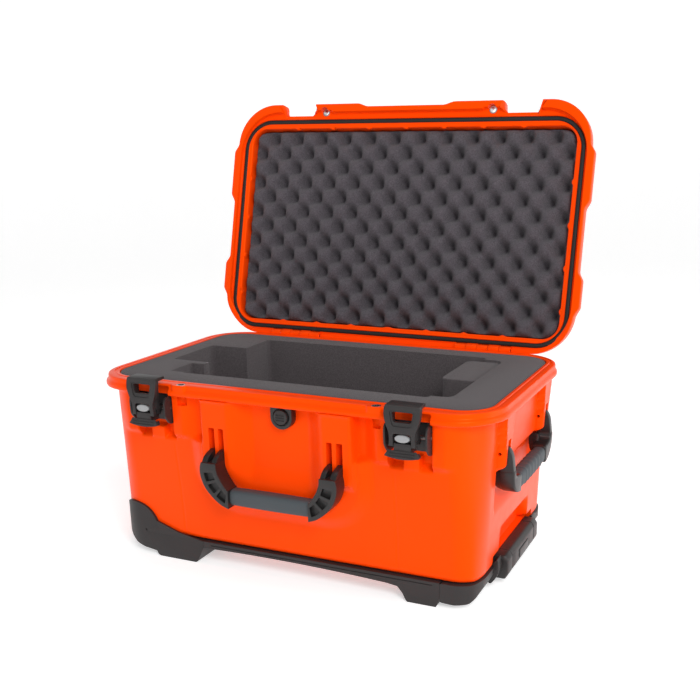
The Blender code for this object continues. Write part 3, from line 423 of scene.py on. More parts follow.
def taper(obj):
    """Draw the two ends in towards the floor, as the moulded tub does."""
    for vertex in obj.data.vertices:
        x, z = vertex.co.x, vertex.co.z
        vertex.co.x -= math.copysign(END_TAPER * float(smooth(abs(x), 0.262, 0.286))
                                     * min(1.0, max(0.0, -z / BODY_DEPTH)), x)
    return obj


# ---------------------------------------------------------------- outlines swept round the case
def make_stations(front, end, back, corner):
    """Points round an outline: (side 0..7, share). Even sides are straight, odd ones are corners."""
    counts = (front, corner, end, corner, back, corner, end, corner)
    sides, shares = [], []
    for side, count in enumerate(counts):
        steps = np.linspace(0.0, 1.0, count + 1) if side % 2 else (np.arange(count) + 0.5) / count
        sides += [side] * len(steps)
        shares += list(steps)
    return np.array(sides), np.array(shares)


def ring(outline, offset, stations):
    """Places and outward normals of the stations on an outline grown by offset."""
    half, front, back, radius = outline
    half, front, back, radius = half + offset, front - offset, back + offset, max(radius + offset, 0.0015)
    side, share = stations
    x0, y0, y1 = half - radius, front + radius, back - radius
    turn = np.select([side == 1, side == 3, side == 5, side == 7], [-90, 0, 90, 180], 0.0)
    turn = np.radians(turn + 90 * share)
    turn = np.where(side % 2 == 1, turn, np.radians(side * 45.0 - 90.0))
    normal = np.stack([np.cos(turn), np.sin(turn)], 1)
    centre_x = np.select([side == 0, side == 4, (side >= 1) & (side <= 3)],
                         [x0 * (2 * share - 1), x0 * (1 - 2 * share), x0], -x0)
    centre_y = np.select([side == 2, side == 6, (side >= 3) & (side <= 5)],
                         [y0 + (y1 - y0) * share, y1 + (y0 - y1) * share, y1], y0)
    place = np.stack([centre_x, centre_y], 1) + normal * radius
    return place, normal


# ---------------------------------------------------------------- base shell
def front_relief(x, z):
    """How far the moulded front stands out from the wall of the tub."""
    ax, depth = np.abs(x), -z
    face = 0.0125 * (1 - smooth(depth, 0.016, 0.215)) * (1 - smooth(ax, 0.238, 0.274))
    reach = np.hypot(np.maximum(0.0, (ax - 0.062) / 0.077), np.maximum(0.0, (depth - 0.112) / 0.073))
    apron = face + 0.0075 * (1 - smooth(reach, 0.7, 1.0))
    height = apron
    pillar_foot = 1 - smooth(depth, 0.11, 0.119)
    flank = 0.021 * (1 - np.clip((ax - 0.112) / 0.027, 0.0, 1.0)) ** 1.6
    height = np.maximum(height, flank * (1 - smooth(depth, 0.1, 0.15)))
    pillar = 0.0215 * (1 - smooth(ax, 0.109, 0.1125)) * pillar_foot
    height = np.maximum(height, pillar)
    recess = 0.002 + 0.0195 * smooth(ax, 0.04, 0.0735)
    fade = smooth(depth, 0.104, 0.141)
    height = np.where(ax < 0.0745, recess * (1 - fade) + apron * fade, height)
    upper = 1 - smooth(depth, 0.07, 0.08)
    wing = 0.003 + 0.0125 * smooth(ax, 0.123, 0.148)
    wing_zone = smooth(ax, 0.111, 0.116) * (1 - smooth(ax, 0.148, 0.149))
    height = height + (wing - height) * wing_zone * upper
    rib_zone = smooth(ax, 0.1475, 0.1485) * (1 - smooth(ax, 0.233, 0.248))
    height = height + (np.maximum(height, 0.0155) - height) * rib_zone * upper
    bay = smooth(ax, 0.16, 0.1618) * (1 - smooth(ax, 0.2175, 0.2193)) * (1 - smooth(depth, 0.072, 0.083))
    height = height * (1 - bay)
    boss = (1 - smooth(np.abs(ax - LATCH_X), 0.0105, 0.013)) * smooth(depth, 0.06, 0.066)
    height = np.maximum(height, 0.0105 * boss * (1 - smooth(depth, 0.078, 0.096)))
    crease = np.exp(-((ax - 0.165) / 0.001) ** 2) * smooth(depth, 0.084, 0.092)
    return height - 0.0005 * crease


def end_relief(x, y, z):
    """Posts that carry a side handle, the hand pocket behind it and the pull handle's recess."""
    ay, depth = np.abs(y), -z
    half = 0.0135 + 0.006 * (1 - smooth(depth, 0.012, 0.067))
    posts = 1 - smooth(np.abs(ay - POST_Y) - half, -0.0012, 0.0012)
    posts = 0.011 * posts * (1 - smooth(depth, 0.085, 0.095))
    pocket = (1 - smooth(ay, 0.1, 0.108)) * smooth(depth, 0.09, 0.095) * (1 - smooth(depth, 0.127, 0.156))
    height = posts * (1 - smooth(depth, 0.09, 0.093)) - 0.016 * pocket
    deep = (1 - smooth(ay, 0.056 + 0.012 * smooth(depth, 0.19, 0.23), 0.07)) * smooth(depth, 0.184, 0.198)
    seat = (1 - smooth(ay, 0.093, 0.095)) * smooth(depth, 0.218, 0.22)
    pull = np.maximum(deep, seat) * np.where(x > 0, 1.0, 0.0)
    return height - 0.0215 * pull


def back_relief(x, z):
    """Hinge blocks and four upright ribs on the back."""
    ax, depth = np.abs(x), -z
    block = 0.01 * (1 - smooth(np.abs(ax - 0.165), 0.05, 0.056)) * (1 - smooth(depth, 0.026, 0.05))
    ribs = 0.006 * (1 - smooth(np.abs(ax - 0.06), 0.01, 0.016)) * (1 - smooth(depth, 0.15, 0.185))
    outer = 0.006 * (1 - smooth(np.abs(ax - 0.225), 0.01, 0.016)) * (1 - smooth(depth, 0.15, 0.185))
    return np.maximum(np.maximum(block, ribs), outer)


def wall_relief(place, normal, z):
    x, y = place[:, 0], place[:, 1]
    height = np.where(normal[:, 1] < -0.3, front_relief(x, z), 0.0)
    height = np.where(normal[:, 1] > 0.3, back_relief(x, z), height)
    return np.where(np.abs(normal[:, 0]) > 0.98, end_relief(x, y, z), height)


def swept_rows(rows, stations, relief=None):
    """Each row is (outline, offset, z, share of relief)."""
    placed = []
    for outline, offset, z, share in rows:
        place, normal = ring(outline, offset, stations)
        if share and relief:
            place = place + normal * (relief(place, normal, z) * share)[:, None]
        placed.append(np.column_stack([place, np.full(len(place), z)]))
    return placed


def base_rows():
    """Rows of the tub's outside from its floor up, over the rim and in to the cavity's edge."""
    rows = [(WALL, -DRAFT * BODY_DEPTH - step, -BODY_DEPTH, 0.0) for step in (0.12, 0.08, 0.04, 0.016)]
    rows.append((WALL, -DRAFT * BODY_DEPTH - 0.013, -BODY_DEPTH - SKIRT, 0.6))
    for turn in (0.0, 30.0, 60.0, 90.0):
        a = math.radians(turn)
        rows.append((WALL, -DRAFT * BODY_DEPTH - 0.007 * (1 - math.sin(a)),
                     -BODY_DEPTH - SKIRT + 0.007 * (1 - math.cos(a)), 1.0 if turn > 45 else 0.8))
    for z in np.arange(-0.223, -0.02, 0.002):
        rows.append((WALL, DRAFT * z, float(z), 1.0))
    rows += [(WALL, 0.0004, -0.0185, 1.0), (WALL, 0.0014, -0.017, 1.0), (WALL, 0.003, -0.0163, 0.9)]
    rim = {FLANGE: ((-0.0024, -0.0161), (-0.0007, -0.0154), (0.0, -0.014), (0.0, -0.0112),
                    (-0.0006, -0.0094), (-0.0018, -0.0082)),
           TIER: ((0.0007, -0.0073), (0.0, -0.0058), (0.0, -0.002), (-0.0006, -0.0006), (-0.002, 0.0),
                  (-0.005, 0.0)),
           CAVITY: ((0.0085, 0.0), (0.0078, -0.0009), (0.0052, -0.0009), (0.0045, 0.0), (0.0016, 0.0),
                    (0.0004, -0.0005), (0.0, -0.0018))}
    return rows + [(outline, offset, z, 0.0) for outline, pairs in rim.items() for offset, z in pairs]


def inner_relief(place, normal, z):
    """The inside follows the pockets that are pressed into the walls from outside."""
    pressed = end_relief(place[:, 0], place[:, 1], z)
    return np.where(np.abs(normal[:, 0]) > 0.98, np.minimum(pressed, 0.0), 0.0)


def base_cutters():
    """Cutters for the handle slots, latch seats, padlock holes and wheel arches."""
    cuts = []
    for side in (-1, 1):
        middle = side * LATCH_X
        for inner, outer in SLOTS:
            x_low, x_high = span(side, inner, outer)
            cuts.append(soften(box("slot", (x_low, -0.2, -0.105), (x_high, -0.1695, -0.054)), 0.001, 2))
        cuts.append(soften(box("notch", (middle - 0.0293, -0.2, -0.03),
                               (middle + 0.0293, -0.1755, -0.0026)), 0.0015, 2))
        eyelet = (side * EYELET_X, EYELET_Y)
        cuts.append(rod("hole", 0.0067, (*eyelet, -0.03), (*eyelet, 0.01)))
        x_low, x_high = span(side, 0.276, 0.32)
        for end in (-1, 1):
            cuts.append(soften(box("tongue_slot", (x_low, end * POST_Y - 0.006, -0.099),
                                   (x_high, end * POST_Y + 0.006, -0.052)), 0.001, 2))
            cuts.append(rod("pin_dimple", 0.0024, (side * SIDE_PIN_X, end * POST_Y - 0.03, SIDE_PIN_Z),
                            (side * SIDE_PIN_X, end * POST_Y + 0.03, SIDE_PIN_Z), 16))
        y_low, y_high = span(side, 0.0985, 0.185)
        arch = rod("arch", 0.0405, (WHEEL[0], y_low, WHEEL[1]), (WHEEL[0], y_high, WHEEL[1]), 64)
        tail = box("tail", (-0.32, y_low, -0.26), (WHEEL[0], y_high, -0.204))
        cuts.append(union(arch, [tail]))
    return cuts


def build_base_shell():
    stations = make_stations(330, 130, 70, 18)
    rows = swept_rows(base_rows(), stations, wall_relief)
    for row in rows:
        x, y, z = row.T
        lug = 1 - smooth(np.abs(np.abs(x) - EYELET_X), 0.0085, 0.012)
        row[:, 1] = np.where((z > -0.0085) & (y < -0.1815), y + (LUG_Y - y) * lug, y)
    inside = [(CAVITY, DRAFT * z, float(z), 1.0) for z in np.linspace(-0.006, -0.222, 36)]
    inside += [(CAVITY, -DRAFT * 0.224 - 0.006, -0.224, 0.0), (CAVITY, -0.06, -0.224, 0.0)]
    rows += swept_rows(inside, stations, inner_relief)
    shell = loft("tub", rows)
    carve(shell, base_cutters())
    taper(shell)
    put_for(shell, "base_shell", "moulding", "base", "orange_shell", angle=42.0)


def hinge_spans(first):
    """Ranges along X of every second barrel of both hinges, from number first on."""
    spans = []
    for side in (-1, 1):
        for slot in range(first, 5, 2):
            middle = side * 0.165 + (slot - 2) * 0.018
            spans.append((middle - 0.0086, middle + 0.0086))
    return spans


def build_knuckles(first, lid):
    """Barrels of the hinge with the webs that join them to their moulding."""
    pieces = []
    for x_low, x_high in hinge_spans(first):
        z_near, z_far = (0.003, 0.0125) if lid else (-0.003, -0.016)
        barrel = rod("barrel", 0.0065, (x_low, HINGE_Y, 0.0), (x_high, HINGE_Y, 0.0))
        web = [(0.17, z_far), (0.17, z_near), (HINGE_Y, z_near), (HINGE_Y + 0.004, z_near * 1.6)]
        block = plate("web", web, "X", x_low, x_high)
        bore = rod("bore", 0.0028, (x_low - 0.001, HINGE_Y, 0.0), (x_high + 0.001, HINGE_Y, 0.0), 20)
        pieces.append(carve(union(barrel, [block]), [bore]))
    return pieces


def build_hinge_knuckles():
    for lid, first, body in ((False, 0, "base"), (True, 1, "lid")):
        for i, piece in enumerate(build_knuckles(first, lid)):
            put(soften(piece, 0.0006, 2, 50.0), f"{body}_knuckle_{i + 1}", body, "orange_shell", lid=lid)


# ---------------------------------------------------------------- lid
def latch_notch(x):
    """1 where the lid's lip is left out for a latch."""
    return 1 - smooth(np.abs(np.abs(x) - NOTCH_X), 0.0273, 0.03)


def lid_relief(kind):
    """Scallops of the lid's lip: a notch for each latch, a dip in the middle and bumps at the ends.

    kind is "seat" for the inner face of the lip, "lip" for its outer face and "low" for the foot of the dome.
    """
    def relief(place, normal, z):
        x, y = place[:, 0], place[:, 1]
        ax = np.abs(x)
        notch = latch_notch(x)
        dip = 0.0055 * (1 - smooth(ax, 0.064, 0.086))
        limit = LIP_FRONT + dip + (0.0175 if z < 0.004 else 0.0225) * notch
        if kind == "seat":
            limit = np.where(notch > 0.02, LIP_FRONT + 0.0205 * notch, LIP_FRONT)
        if kind == "low":
            limit = LIP_FRONT + 0.0225 * notch * (1 - smooth(z, 0.019, 0.031))
        pull = np.where(normal[:, 1] < -0.9, np.minimum(0.0, y - limit), 0.0)
        if kind == "seat":
            lug_room = 0.0026 * (1 - smooth(np.abs(ax - EYELET_X), 0.0125, 0.0155))
            pull = pull + np.where(normal[:, 1] < -0.9, lug_room, 0.0)
        if kind != "lip":
            return pull
        first = 1 - smooth(np.abs(y + 0.0845), 0.034, 0.05)
        second = 1 - smooth(np.abs(y - 0.0905), 0.019, 0.035)
        bumps = 0.0072 * np.maximum(first, second) * (1 - smooth(z, 0.0095, 0.014))
        return pull + np.where(np.abs(normal[:, 0]) > 0.98, bumps, 0.0)
    return relief


def boss_relief(place, normal, z):
    """Half-round screw bosses spaced along the inner edge of the lid."""
    along = np.where(np.abs(normal[:, 1]) > 0.9, place[:, 0], place[:, 1] + 0.012)
    pitch = 0.065
    gap = np.abs((along + pitch / 2) % pitch - pitch / 2)
    straight = (np.abs(normal).max(1) > 0.999) * (1 - smooth(z, 0.007, 0.012))
    return -0.0022 * np.sqrt(np.maximum(0.0, 1 - (gap / 0.0042) ** 2)) * straight


def lid_rows(stations):
    """Rows from the hollow over the seal's groove and the lip to the top; the skirt hangs in front only."""
    rows = []

    def add(outline, offset, z, relief=None, skirt=False):
        place, normal = ring(outline, offset, stations)
        if relief:
            place = place + normal * relief(place, normal, z)[:, None]
        level = np.full(len(place), z)
        if skirt:
            beside_notch = smooth(np.abs(np.abs(place[:, 0]) - NOTCH_X), 0.0298, 0.0315)
            hang = (1 - smooth(normal[:, 1], 0.2, 0.85)) * np.where(normal[:, 1] < -0.9, beside_notch, 1.0)
            level = SEAL + (level - SEAL) * hang
        rows.append(np.column_stack([place, level]))

    for offset, z in ((-0.1, 0.0535), (-0.004, 0.0535), (-0.001, 0.0525), (0.0, 0.0495), (0.0, 0.03)):
        add(HOLLOW, offset, z)
    for offset, z in ((0.0, 0.012), (0.0, 0.008), (0.0, 0.0036), (0.0006, 0.0022), (0.002, SEAL)):
        add(HOLLOW, offset, z, boss_relief)
    for offset, z in ((-0.0062, SEAL), (-0.0052, 0.0007), (-0.0044, 0.0004), (-0.0036, 0.001),
                      (-0.0033, 0.0058), (0.0033, 0.0058), (0.0036, 0.001), (0.0042, 0.0004),
                      (0.0048, 0.0007), (0.0056, SEAL)):
        add(GASKET, offset, z)
    add(SEAT, -0.0008, SEAL - 0.0001, lid_relief("seat"), True)
    add(SEAT, 0.0, 0.0006, lid_relief("seat"), True)
    add(SEAT, 0.0, -0.0058, lid_relief("seat"), True)
    add(SEAT, 0.001, -0.0072, lid_relief("seat"), True)
    for offset, z in ((-0.002, -0.0073), (-0.0007, -0.0069), (0.0, -0.0056)):
        add(LIP, offset, z, lid_relief("lip"), True)
    for offset, z in ((0.0, 0.002), (0.0, 0.006), (0.0, 0.0108), (-0.0007, 0.0128), (-0.0022, 0.0139)):
        add(LIP, offset, z, lid_relief("lip"))
    for z in (0.0142, 0.0152, 0.0175, 0.019, 0.022, 0.025, 0.028, 0.031):
        flare = 0.0026 * (1 - smooth(z, 0.014, 0.0175))
        add(DOME, flare - 0.0045 * (z - 0.014) / 0.043, z, lid_relief("low"))
    for z in np.arange(0.0345, 0.048, 0.0034):
        add(DOME, -0.0045 * (z - 0.014) / 0.043, float(z))
    for turn in (0.0, 22.5, 45.0, 67.5, 90.0):
        a = math.radians(turn)
        add(DOME, -0.004 - 0.008 * (1 - math.cos(a)), 0.0483 + 0.008 * math.sin(a))
    for inset in np.arange(0.015, 0.1785, 0.003):
        place, normal = ring(DOME, -float(inset), stations)
        rows.append(np.column_stack([place, 0.0563 - lid_top_sink(place[:, 0], place[:, 1])]))
    return rows


def lid_top_sink(x, y):
    """Outside of the lid: a sunk panel with long raised ribs."""
    edge = np.maximum(np.abs(x) - 0.238, np.abs(y + 0.005) - 0.122)
    panel = 0.0022 * (1 - smooth(edge, -0.002, 0.002))
    ribs = np.zeros_like(x)
    for centre in (-0.09, -0.032, 0.026, 0.084):
        ribs = np.maximum(ribs, 1 - smooth(np.abs(y - centre), 0.01, 0.014))
    return panel - 0.0022 * ribs * (1 - smooth(np.abs(x), 0.205, 0.212)) * (panel > 0.0021)


def build_lid_shell():
    stations = make_stations(420, 150, 80, 20)
    shell = loft("lid", lid_rows(stations))
    cuts = []
    for side in (-1, 1):
        cuts.append(rod("hole", 0.0067, (side * EYELET_X, EYELET_Y - 0.0075, -0.012),
                        (side * EYELET_X, EYELET_Y - 0.0075, 0.0195)))
    for x_low, x_high in hinge_spans(0):
        cuts.append(box("room", (x_low - 0.0004, 0.174, -0.01), (x_high + 0.0004, 0.195, 0.0072)))
    carve(shell, cuts)
    put_for(shell, "lid_shell", "moulding", "lid", "orange_shell", lid=True, angle=42.0)


def build_gasket():
    stations = make_stations(60, 40, 60, 20)
    profile = ((-0.003, 0.0056), (-0.003, 0.0014), (-0.0022, 0.0006), (-0.0008, 0.0003), (0.0008, 0.0003),
               (0.0022, 0.0006), (0.003, 0.0014), (0.003, 0.0056))
    rows = swept_rows([(GASKET, offset, z, 0.0) for offset, z in profile], stations)
    put_for(loft("gasket", rows, closed=False), "lid_gasket", "seal", "lid", "seal_rubber", lid=True)


def build_lid_foam():
    """Convoluted foam: staggered soft peaks on a block that fills the lid."""
    half_x, half_y, corner = 0.2785, 0.159, 0.024
    xs, ys = np.linspace(-half_x, half_x, 281), np.linspace(-half_y, half_y, 161)
    grid_x, grid_y = np.meshgrid(xs, ys)
    wave = np.cos(2 * np.pi * grid_x / 0.0445) * np.cos(2 * np.pi * grid_y / 0.049)
    sway = 0.35 * np.sin(31.0 * grid_x + 1.3) * np.cos(43.0 * grid_y + 0.4)
    sway = sway + 0.25 * np.sin(67.0 * grid_x - 51.0 * grid_y)
    height = 0.0055 * wave - 0.021 * ((1 - wave) / 2) ** 3 + 0.0012 * sway
    inset = np.minimum(half_x - np.abs(grid_x), half_y - np.abs(grid_y))
    in_corner = np.hypot(np.maximum(0.0, np.abs(grid_x) - half_x + corner),
                         np.maximum(0.0, np.abs(grid_y) - half_y + corner))
    inset = np.minimum(inset, corner - in_corner)
    rounding = 0.006 * (1 - np.clip(inset / 0.006, 0.0, 1.0)) ** 2
    level = np.maximum(0.0042, 0.0108 - height + rounding * 0.6)
    scale = np.where(in_corner > corner, corner / np.maximum(in_corner, 1e-6), 1.0)
    pin_x = np.sign(grid_x) * (half_x - corner + (np.abs(grid_x) - half_x + corner) * scale)
    pin_y = np.sign(grid_y) * (half_y - corner + (np.abs(grid_y) - half_y + corner) * scale)
    beyond = in_corner > corner
    place_x, place_y = np.where(beyond, pin_x, grid_x), np.where(beyond, pin_y, grid_y)
    rows, cols = grid_x.shape
    verts = np.column_stack([place_x.ravel(), place_y.ravel(), level.ravel()]).tolist()
    faces = [(r * cols + c, r * cols + c + 1, (r + 1) * cols + c + 1, (r + 1) * cols + c)
             for r in range(rows - 1) for c in range(cols - 1)]
    rim = [*range(cols), *[r * cols + cols - 1 for r in range(1, rows)]]
    rim += [(rows - 1) * cols + c for c in range(cols - 2, -1, -1)]
    rim += [r * cols for r in range(rows - 2, 0, -1)]
    back = len(verts)
    verts += [(verts[i][0], verts[i][1], 0.0529) for i in rim]
    faces += [(rim[i], rim[(i + 1) % len(rim)], back + (i + 1) % len(rim), back + i) for i in range(len(rim))]
    faces.append(tuple(back + i for i in range(len(rim))))
    foam = mesh_object("foam", verts, faces)
    bm = bmesh.new()
    bm.from_mesh(foam.data)
    bmesh.ops.remove_doubles(bm, verts=bm.verts, dist=0.00005)
    bmesh.ops.recalc_face_normals(bm, faces=bm.faces)
    bm.to_mesh(foam.data)
    bm.free()
    put(foam, "lid_convoluted_foam", "lid", "lid_foam", ["lid_foam"], lid=True, angle=80.0)


# ---------------------------------------------------------------- base foam
def build_base_foam():
    """Foam insert with its pockets, and the loose divider block."""
    stations = make_stations(10, 8, 10, 12)
    depth = 0.2232
    rows = swept_rows([(CAVITY, -0.0008 - DRAFT * depth, -depth, 0.0), (CAVITY, -0.001, -0.002, 0.0),
                       (CAVITY, -0.0016, -0.0008, 0.0), (CAVITY, -0.003, -0.0002, 0.0)], stations)
    foam = loft("foam", rows)
    grow = 0.0008
    cuts = []
    for side in (-1, 1):
        x_low, x_high = span(side, 0.2645 - grow, 0.3)
        cuts.append(box("hand_block", (x_low, -0.112 - grow, -0.16), (x_high, 0.112 + grow, -0.085)))
        y_low, y_high = span(side, 0.095 - grow, 0.172)
        cuts.append(box("wheel_block", (-0.3, y_low, -0.23), (-0.2055 + grow, y_high, -0.1835 + grow)))
    cuts.append(box("pull_block", (0.2585 - grow, -0.0985, -0.23), (0.3, 0.0985, -0.184)))

    def pocket(points, bottom, radius):
        return plate("pocket", rounded(points, radius), "Z", bottom, 0.02)

    main = [(-0.185, -0.119), (0.19, -0.119), (0.19, 0.125), (-0.185, 0.125)]
    finger = [(-0.206, -0.116), (-0.18, -0.116), (-0.18, -0.064), (-0.206, -0.064)]
    hand = [(-0.248, -0.05), (-0.18, -0.05), (-0.18, 0.056), (-0.248, 0.056)]
    small = [(0.151, -0.11), (0.219, -0.11), (0.219, 0.114), (0.151, 0.114)]
    cuts += [pocket(main, -0.15, 0.006), pocket(finger, -0.05, 0.004), pocket(hand, -0.05, 0.008),
             pocket(small, -0.15, 0.014)]
    carve(foam, cuts)
    taper(soften(foam, 0.0012, 2, 40.0))
    put_for(foam, "base_foam", "insert", "base", "base_foam", angle=50.0)
    outline = rounded([(0.164, -0.006), (0.2184, -0.006), (0.2184, 0.1135), (0.164, 0.1135)], 0.014, 8)
    block = soften(plate("block", outline, "Z", -0.1495, -0.0035), 0.0018, 3, 60.0)
    put_for(block, "foam_divider", "block", "base", "base_foam", angle=50.0)


# ---------------------------------------------------------------- latches
def build_latch_bracket(mid, word):
    """Back plate with two ribbed cheeks, and the pin across them."""
    cheeks = []
    for end in (-1, 1):
        x_low, x_high = span(end, 0.0264, 0.0289)
        shape = rounded([(-0.1695, -0.0165), (-0.194, -0.0176), (-0.197, -0.025), (-0.196, -0.044),
                         (-0.186, -0.056), (-0.1695, -0.056)], 0.004)
        cheeks.append(plate("cheek", shape, "X", mid + x_low, mid + x_high))
        for level in (-0.0235, -0.0455):
            cheeks.append(box("cheek_rib", (mid + x_low - 0.0006, -0.19, level - 0.0008),
                              (mid + x_high + 0.0001, -0.17, level + 0.0008)))
    bracket = box("bracket", (mid - 0.0289, -0.169, -0.056), (mid + 0.0289, -0.1665, -0.0168))
    union(bracket, cheeks)
    put_for(soften(bracket, 0.0005, 2, 50.0), f"latch_bracket_{word}", "moulding", "base", "dark_plastic")

    pin = soften(rod("pin", 0.0025, (mid - 0.0294, *LATCH_PIN), (mid + 0.0294, *LATCH_PIN)), 0.0006, 2)
    put_for(pin, f"latch_pin_{word}", "steel", "base", "dark_steel")


def build_latch_lever(mid, word):
    """Lever with a flared, grooved lip; the claw's feet swing in a hollow on each side of its neck."""
    neck = [(0.0145, -0.0375), (0.0165, -0.042), (0.0195, -0.0475), (0.0228, -0.053)]
    lip = [(mid - a, b) for a, b in neck]
    lip += [*arc((mid, 0.033), 0.0895, 255.2, 284.8, 14), *[(mid + a, b) for a, b in neck[::-1]]]
    lever = plate("lever", rounded(lip, 0.0012, 2), "Y", -0.2055, -0.1985)
    union(lever, [
        box("web", (mid - 0.0108, -0.2, -0.05), (mid + 0.0108, -0.186, -0.0395)),
        box("block", (mid - 0.0108, -0.1955, -0.044), (mid + 0.0108, -0.181, -0.029)),
        rod("barrel", 0.0055, (mid - 0.0108, *LATCH_PIN), (mid + 0.0108, *LATCH_PIN))])
    cuts = [rod("bore", radius, (mid - 0.02, *pin), (mid + 0.02, *pin), 20)
            for radius, pin in ((0.0028, LATCH_PIN), (0.0021, CLAW_PIN))]
    for end in (-1, 1):
        x_low, x_high = span(end, 0.0112, 0.02)
        cuts.append(rod("claw_swing", CLAW_SWING, (mid + x_low, *CLAW_PIN), (mid + x_high, *CLAW_PIN), 64))
    for level in (-0.0455, -0.049, -0.0525):
        cuts.append(rod("groove", 0.0011, (mid - 0.0165, -0.2059, level), (mid + 0.0165, -0.2059, level), 12))
    carve(lever, cuts)
    soften(lever, 0.0006, 2, 40.0)
    for vertex in lever.data.vertices:
        if vertex.co.y < -0.1975:
            vertex.co.y -= 0.0026 * float(smooth(-vertex.co.z, 0.043, 0.0575))
    put_for(lever, f"latch_lever_{word}", "moulding", f"latch_lever_{word}", "dark_plastic")


def build_latch_claw(mid, word):
    """Waisted face with two windows, two arms down to its pin and a hook over the lid's lip."""
    half = curve([(0.0176, -0.041), (0.0168, -0.03), (0.0178, -0.0225), (0.0208, -0.014), (0.0232, -0.005),
                  (0.0238, 0.005), (0.0222, 0.0104)])
    face = [(mid - a, b) for a, b in half] + [(mid + a, b) for a, b in half[::-1]]
    claw = plate("claw", face, "Y", -0.2072, -0.2008)
    hook = plate("hook", rounded([(-0.206, 0.004), (-0.205, 0.0098), (-0.2, 0.0106), (-0.1836, 0.0106),
                                  (-0.1828, 0.007), (-0.185, 0.0066), (-0.199, 0.0058)], 0.0012, 3),
                 "X", mid - 0.0218, mid + 0.0218)
    parts = [hook]
    for end in (-1, 1):
        x_low, x_high = span(end, 0.012, 0.0178)
        arm = [(-0.202, -0.0205), (-0.202, -0.0235), (-0.196, -0.0395), (-0.1905, -0.04),
               (-0.1875, -0.036), (-0.1895, -0.032), (-0.1945, -0.0205)]
        parts.append(plate("arm", rounded(arm, 0.0012, 3), "X", mid + x_low, mid + x_high))
        x_low, x_high = span(end, 0.015, 0.0172)
        wing = [(-0.204, -0.033), (-0.195, -0.033), (-0.1915, -0.02), (-0.1915, 0.0), (-0.195, 0.008),
                (-0.204, 0.008)]
        parts.append(plate("wing", rounded(wing, 0.002, 3), "X", mid + x_low, mid + x_high))
    union(claw, parts)
    window = [(-0.0118, -0.0108), (0.0118, -0.0108), (0.0142, 0.0022), (-0.0142, 0.0022)]
    recess = [(-0.0128, -0.016), (0.0128, -0.016), (0.0168, 0.0042), (-0.0168, 0.0042)]
    lower = [(-0.012, -0.042), (-0.012, -0.0248), (0.012, -0.0248), (0.012, -0.042)]
    window, recess, lower = ([(mid + a, b) for a, b in points] for points in (window, recess, lower))
    carve(claw, [
        plate("window", rounded(window, 0.003), "Y", -0.22, -0.195),
        plate("recess", rounded(recess, 0.0045), "Y", -0.22, -0.2058),
        plate("lower", rounded(lower, 0.004), "Y", -0.22, -0.195),
        rod("bore", 0.0021, (mid - 0.02, *CLAW_PIN), (mid + 0.02, *CLAW_PIN), 20)])
    soften(claw, 0.0009, 3, 40.0)
    for vertex in claw.data.vertices:
        if vertex.co.y < -0.1985:
            level = vertex.co.z
            bow = float(smooth(level, -0.006, 0.011)) * 0.0022 + float(smooth(-level, 0.02, 0.04)) * 0.001
            vertex.co.y += bow
    put_for(claw, f"latch_claw_{word}", "moulding", f"latch_claw_{word}", "dark_plastic")


def build_latch_button(mid, word):
    sections = []
    for y, share in ((-0.1992, 1.0), (-0.2055, 1.0), (-0.2066, 0.94), (-0.2071, 0.8), (-0.2072, 0.45)):
        oval = arc((mid, -0.031), 0.0099 * share, 0, 350, 35, 0.5)
        sections.append([(a, y, b) for a, b in oval])
    put_for(loft("button", sections), f"latch_button_{word}", "cap", f"latch_button_{word}", "button_grey")


def build_latch(side, word):
    mid = side * LATCH_X
    build_latch_bracket(mid, word)
    build_latch_lever(mid, word)
    build_latch_claw(mid, word)
    build_latch_button(mid, word)


# ---------------------------------------------------------------- swing handles
def grip_sections(middle, half_length, half_width, half_height, ribs, across):
    """Sections of a soft grip with rounded ends and shallow ribs, if any; across maps to X, Y, Z."""
    sections = []
    for t in np.linspace(-1.0, 1.0, 89):
        end = min(1.0, math.sqrt(max(0.0, 1 - max(0.0, (abs(t) - 0.94) / 0.06) ** 2)) * 0.22 + 0.78)
        rib = 0.0009
        if ribs and abs(t) < 0.62:
            rib = 0.0009 * (0.5 + 0.5 * math.cos(2 * math.pi * t * ribs / 2))
        swell = end - rib / half_height - 0.05 * t * t
        angles = [2 * math.pi * k / 40 for k in range(40)]
        sections.append([across(middle, t * half_length,
                                half_width * swell * math.copysign(abs(math.cos(a)) ** 0.62, math.cos(a)),
                                half_height * swell * math.copysign(abs(math.sin(a)) ** 0.62, math.sin(a)))
                         for a in angles])
    return sections


def sickle(side, inner_x, outer_x, top, bend, end_x, end_top, end_bottom):
    """Outline of a curved arm from its two straight upper edges in to the grip."""
    outer, inner = (
        [(edge, top), *arc((end_x, bend), edge - end_x, 0, -88, steps, (bend - low) / (edge - end_x))]
        for edge, steps, low in ((outer_x, 14, end_bottom), (inner_x, 8, end_top)))
    return [(side * a, b) for a, b in outer + inner[::-1]]


